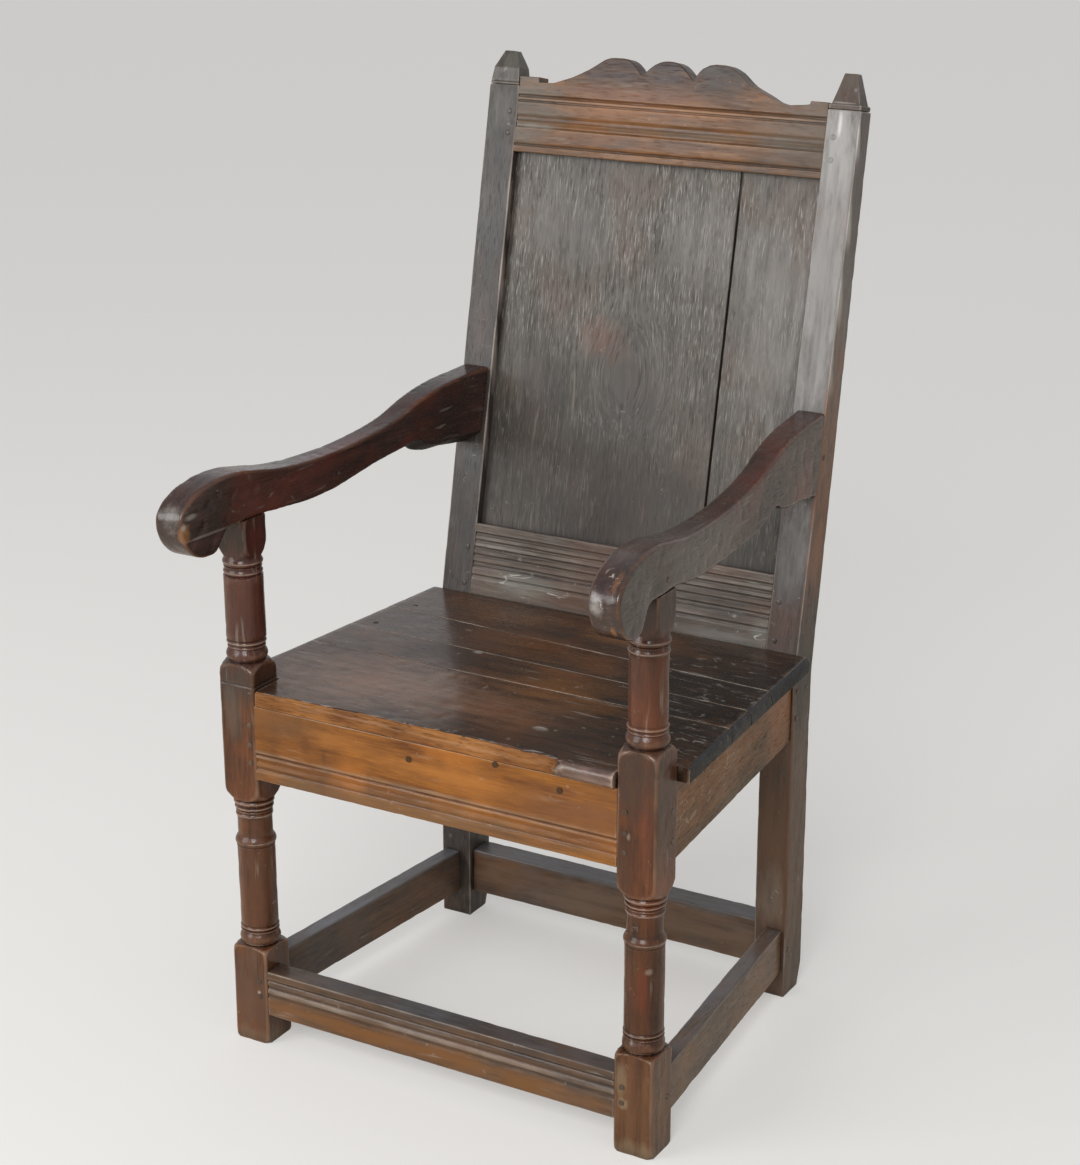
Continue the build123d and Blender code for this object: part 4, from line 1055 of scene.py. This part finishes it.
# The right arm's last row and the left arm's last row are painted highlights on the hand-holds;
# the left arm's near-black row at 140 mm is painted shade on its rear underside.
arm_marks = {1: marked("""
    268 -140 655  12 150 44  118 98 90  0.55
    276 -290 660  8 60 60  36 27 23  0.85
    273 -318 676  4 16 26  300 125 40  0.55
    272 -322 636  4 10 8  420 170 50  0.7
    262 -270 700  22 40 6  160 120 100  0.4
    257 -338 664  8 14 14  560 540 510  0.5"""),
             -1: marked("""
    -246 -318 669  6 12 4  420 380 330  0.7
    -248 -327 652  7 8 13  360 165 55  0.75
    -246 -329 660  5 4 5  500 430 360  0.7
    -245 -280 643  7 48 1.6  380 340 300  0.7
    -240 -60 672  10 150 40  125 24 14  0.65
    -240 -275 668  8 40 44  18 12 10  0.7
    -240 140 680  40 70 80  16 11 10  0.85
    -262 -325 668  14 14 18  440 420 380  0.4""")}
# Fine pale lines on the right hand-hold: scratch marks, with painted glints.
arm_scratches = marked("264 -318 668  16 22 36  600 530 460  0.75")
# A darker, duller oak for the arms' undersides behind the hand-holds: painted shade under the
# arms.
shaded_underside = oak(
    "oak_arm_undersides_painted_shade", ALONG_Y, (0.3, 0.6, 0.4), dark=(14, 10, 9),
    light=(46, 30, 25), worn=(140, 90, 60), blush=(50, 22, 16), figure=0.3,
    haze_share=0, gloss=0.55, coat=0, wear=0.4, scuffs=0.2)
arm_half, arm_arris = 0.018, 0.003
arm_front_x, arm_rear_x = 0.257, post_outer - arm_half

for side, word in both_sides:
    arm_outline = arm_top + hand_hold + arm_under[side] + arm_ends
    corners = (0, len(arm_top) + len(hand_hold), len(arm_outline) - 1)
    begin()
    bpy.ops.curve.primitive_bezier_curve_add(location=(0, 0, 0))
    arm = bpy.context.object
    arm.name = "shaped_arm_" + word
    outline = arm.data
    outline.dimensions = "2D"
    outline.fill_mode = "BOTH"
    outline.resolution_u = 10
    spline = outline.splines[0]
    spline.bezier_points.add(len(arm_outline) - len(spline.bezier_points))
    spline.use_cyclic_u = True
    for number, (point, (along, up)) in enumerate(zip(spline.bezier_points, arm_outline)):
        point.co = (along * mm, up * mm, 0)
        bend = "VECTOR" if number in corners else "AUTO"
        point.handle_left_type = point.handle_right_type = bend
    outline.extrude = arm_half - arm_arris
    outline.bevel_depth = arm_arris
    outline.bevel_resolution = 2
    outline.offset = -arm_arris
    arm.rotation_euler = (pi / 2, 0, pi / 2)
    bpy.ops.object.convert(target="MESH")
    arm = bpy.context.object
    bpy.ops.object.transform_apply()
    opened()
    bpy.ops.mesh.remove_doubles(threshold=0.00005)
    bpy.ops.mesh.normals_make_consistent(inside=False)
    closed()
    worked(arm, "REMESH", mode="VOXEL", voxel_size=0.0018)
    worked(arm, "SMOOTH", factor=0.5, iterations=5)
    underside, topside = sorted(arm_under[side] + arm_ends), sorted(arm_top)
    for vertex in arm.data.vertices:
        across, along, up = vertex.co / mm
        if side < 0 and along > 22:
            low, high = line_at(underside, along), line_at(topside, along)
            share = limited((high - up) / (high - low))
            inner = limited((across + 8.0) / 26.0)
            up += line_at(dressed_off, along) * inner * share ** 1.5
        if side > 0 and across > 0:        # the hollow in the right hand-hold
            hollow = ((along + 40.0) ** 2 + (up - 4.0) ** 2) / (2 * 13.0 ** 2)
            across -= 1.8 * across / 18.0 * 2.718 ** -hollow
        way = along / past
        waist = 1.0 - 0.17 * max(0.0, sin(pi * limited((way - 0.02) / 0.98))) ** 1.2
        vertex.co.x = across * mm * waist + side * (arm_front_x + (arm_rear_x - arm_front_x) * way)
        vertex.co.y = along * mm + leg_axis_y
        vertex.co.z = up * mm + arm_z
    hold(arm)
    opened()
    bpy.ops.mesh.bisect(plane_co=(0, post_front, bend_z),
                        plane_no=(0, cos(face_angle), -sin(face_angle)),
                        use_fill=True, clear_outer=True)
    closed()
    dressed(arm, 0.4, 0.8, 101 if side > 0 else 107, 60, ALONG_Y, (side * 0.6, 0.2, 0.2),
            marks=arm_marks[side], scratches=arm_scratches, **arm_colours)
    faced(arm, shaded_underside, lambda face: face.normal.z < -0.55 and face.center.y > -0.16)
    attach(arm, "root")
    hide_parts("arm_" + word)

# ---------------------------------------------------------------- pegs
# Riven oak pegs driven through every joint, whittled roughly round, and left a
# hair proud of the face.
peg_colours = dict(
    dark=(40, 22, 14), light=(130, 80, 52), worn=(240, 170, 120),
    blush=(120, 55, 28), wear=0.3)


def peg(place, rotation, length):
    begin()
    bpy.ops.mesh.primitive_cylinder_add(vertices=9, radius=0.0034, depth=length,
                                        location=place, rotation=rotation)
    made = bpy.context.object
    bpy.ops.object.transform_apply()
    opened()
    bpy.ops.mesh.bevel(offset=0.0004, segments=2, affect="EDGES")
    closed()
    return made


def along_y(x, z, y, length, inward=1):
    return peg((x, y + inward * (length / 2 - proud), z), (pi / 2, 0, 0), length)


def along_x(y, z, x, length):
    inward = -1 if x > 0 else 1
    return peg((x + inward * (length / 2 - proud), y, z), (0, pi / 2, 0), length)


proud = 0.0004
peg_inset = 0.0105                     # from the joint's shoulder
leg_peg_y, post_peg_y = leg_back - peg_inset, post_front + peg_inset
up_post = 0.2652                       # the arm's rear peg, up the post from its bend
arm_peg_y = post_front + peg_inset * cos(face_angle) + up_post * sin(face_angle)
arm_peg_z = bend_z - peg_inset * sin(face_angle) + up_post * cos(face_angle)
front_rail_pegs, stretcher_pegs, side_rail_pegs = [], [], []
rear_rail_pegs, back_frame_pegs, arm_pegs = [], [], []
for side in (-1, 1):
    leg_x, post_x = side * leg_outer, side * post_outer
    leg_peg_x, post_peg_x = side * (leg_inner + peg_inset), side * (rail_half + peg_inset)
    front_rail_pegs += [along_y(leg_peg_x, z, leg_front, 0.030) for z in (0.357, 0.379, 0.403)]
    stretcher_pegs += [along_y(leg_peg_x, z, leg_front, 0.030) for z in (0.061, 0.080)]
    stretcher_pegs += [along_x(leg_peg_y, 0.061, leg_x, 0.028),
                       along_x(post_peg_y, 0.061, post_x, 0.028),
                       along_y(post_peg_x, 0.063, post_back, 0.030, -1)]
    for z in (0.364, 0.398):
        side_rail_pegs += [along_x(leg_peg_y, z, leg_x, 0.028),
                           along_x(post_peg_y, z, post_x, 0.028)]
        rear_rail_pegs.append(along_y(post_peg_x, z, post_back, 0.030, -1))
    for up in (0.045, 0.091, 0.6035, 0.6295):
        made = along_y(post_peg_x, up, 0.0, 0.020)
        to_back(made)
        back_frame_pegs.append(made)
    arm_pegs += [along_x(leg_axis_y, arm_z + 0.013, side * 0.275, 0.028),
                 along_x(arm_peg_y, arm_peg_z, post_x, 0.026)]
peg_sets = {"front_rail": front_rail_pegs, "stretchers": stretcher_pegs,
            "side_rails": side_rail_pegs, "rear_rail": rear_rail_pegs,
            "back_frame": back_frame_pegs, "arms": arm_pegs}
peg_oak = oak("oak_pegs", UPRIGHT, (0.4, 0.2, 0.7), **peg_colours)
# The back frame's pegs take the posts' marks, the painted sheen of the right post among them.
grey_oak = oak(
    "oak_grey_pegs", UPRIGHT, (0.7, 0.1, 0.5), marks=post_marks[1] + post_marks[-1],
    **(post_colours | dict(wear=0, scuffs=0.1)))
for joint, made in peg_sets.items():
    hold(made[0])
    for one in made:
        one.select_set(True)
    bpy.ops.object.join()
    pegs = bpy.context.object
    pegs.name = "whittled_pegs_" + joint
    hold(pegs)
    bpy.ops.object.shade_smooth_by_angle(angle=radians(30))
    pegs.data.materials.append(grey_oak if joint == "back_frame" else peg_oak)
    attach(pegs, "root")
    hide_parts("pegs_" + joint)

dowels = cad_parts["finial_dowels"].data.materials
dowels.clear()
dowels.append(peg_oak)

# ---------------------------------------------------------------- nails
# Hand-forged iron nails: three in the front rail's face, and two through each
# end of each seat board.
iron, tree = new_finish("iron_nails")
rust = added(tree, "TexNoise", {"Vector": added(tree, "TexCoord", {}).outputs["Object"],
                                "Scale": 900.0}).outputs[0]
tint = added(tree, "Mix", {0: rust, 6: (0.048, 0.029, 0.018, 1), 7: (0.130, 0.066, 0.030, 1)},
             data_type="RGBA")
dull = added(tree, "MapRange", {"Value": rust, "To Min": 0.4, "To Max": 0.75})
plugged(tree.nodes["Principled BSDF"], {
    "Metallic": 0.6, "Base Color": tint.outputs[2], "Roughness": dull.outputs[0]})
for node_name in ("seat_nails", "front_rail_nails"):
    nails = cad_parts[node_name].data.materials
    nails.clear()
    nails.append(iron)
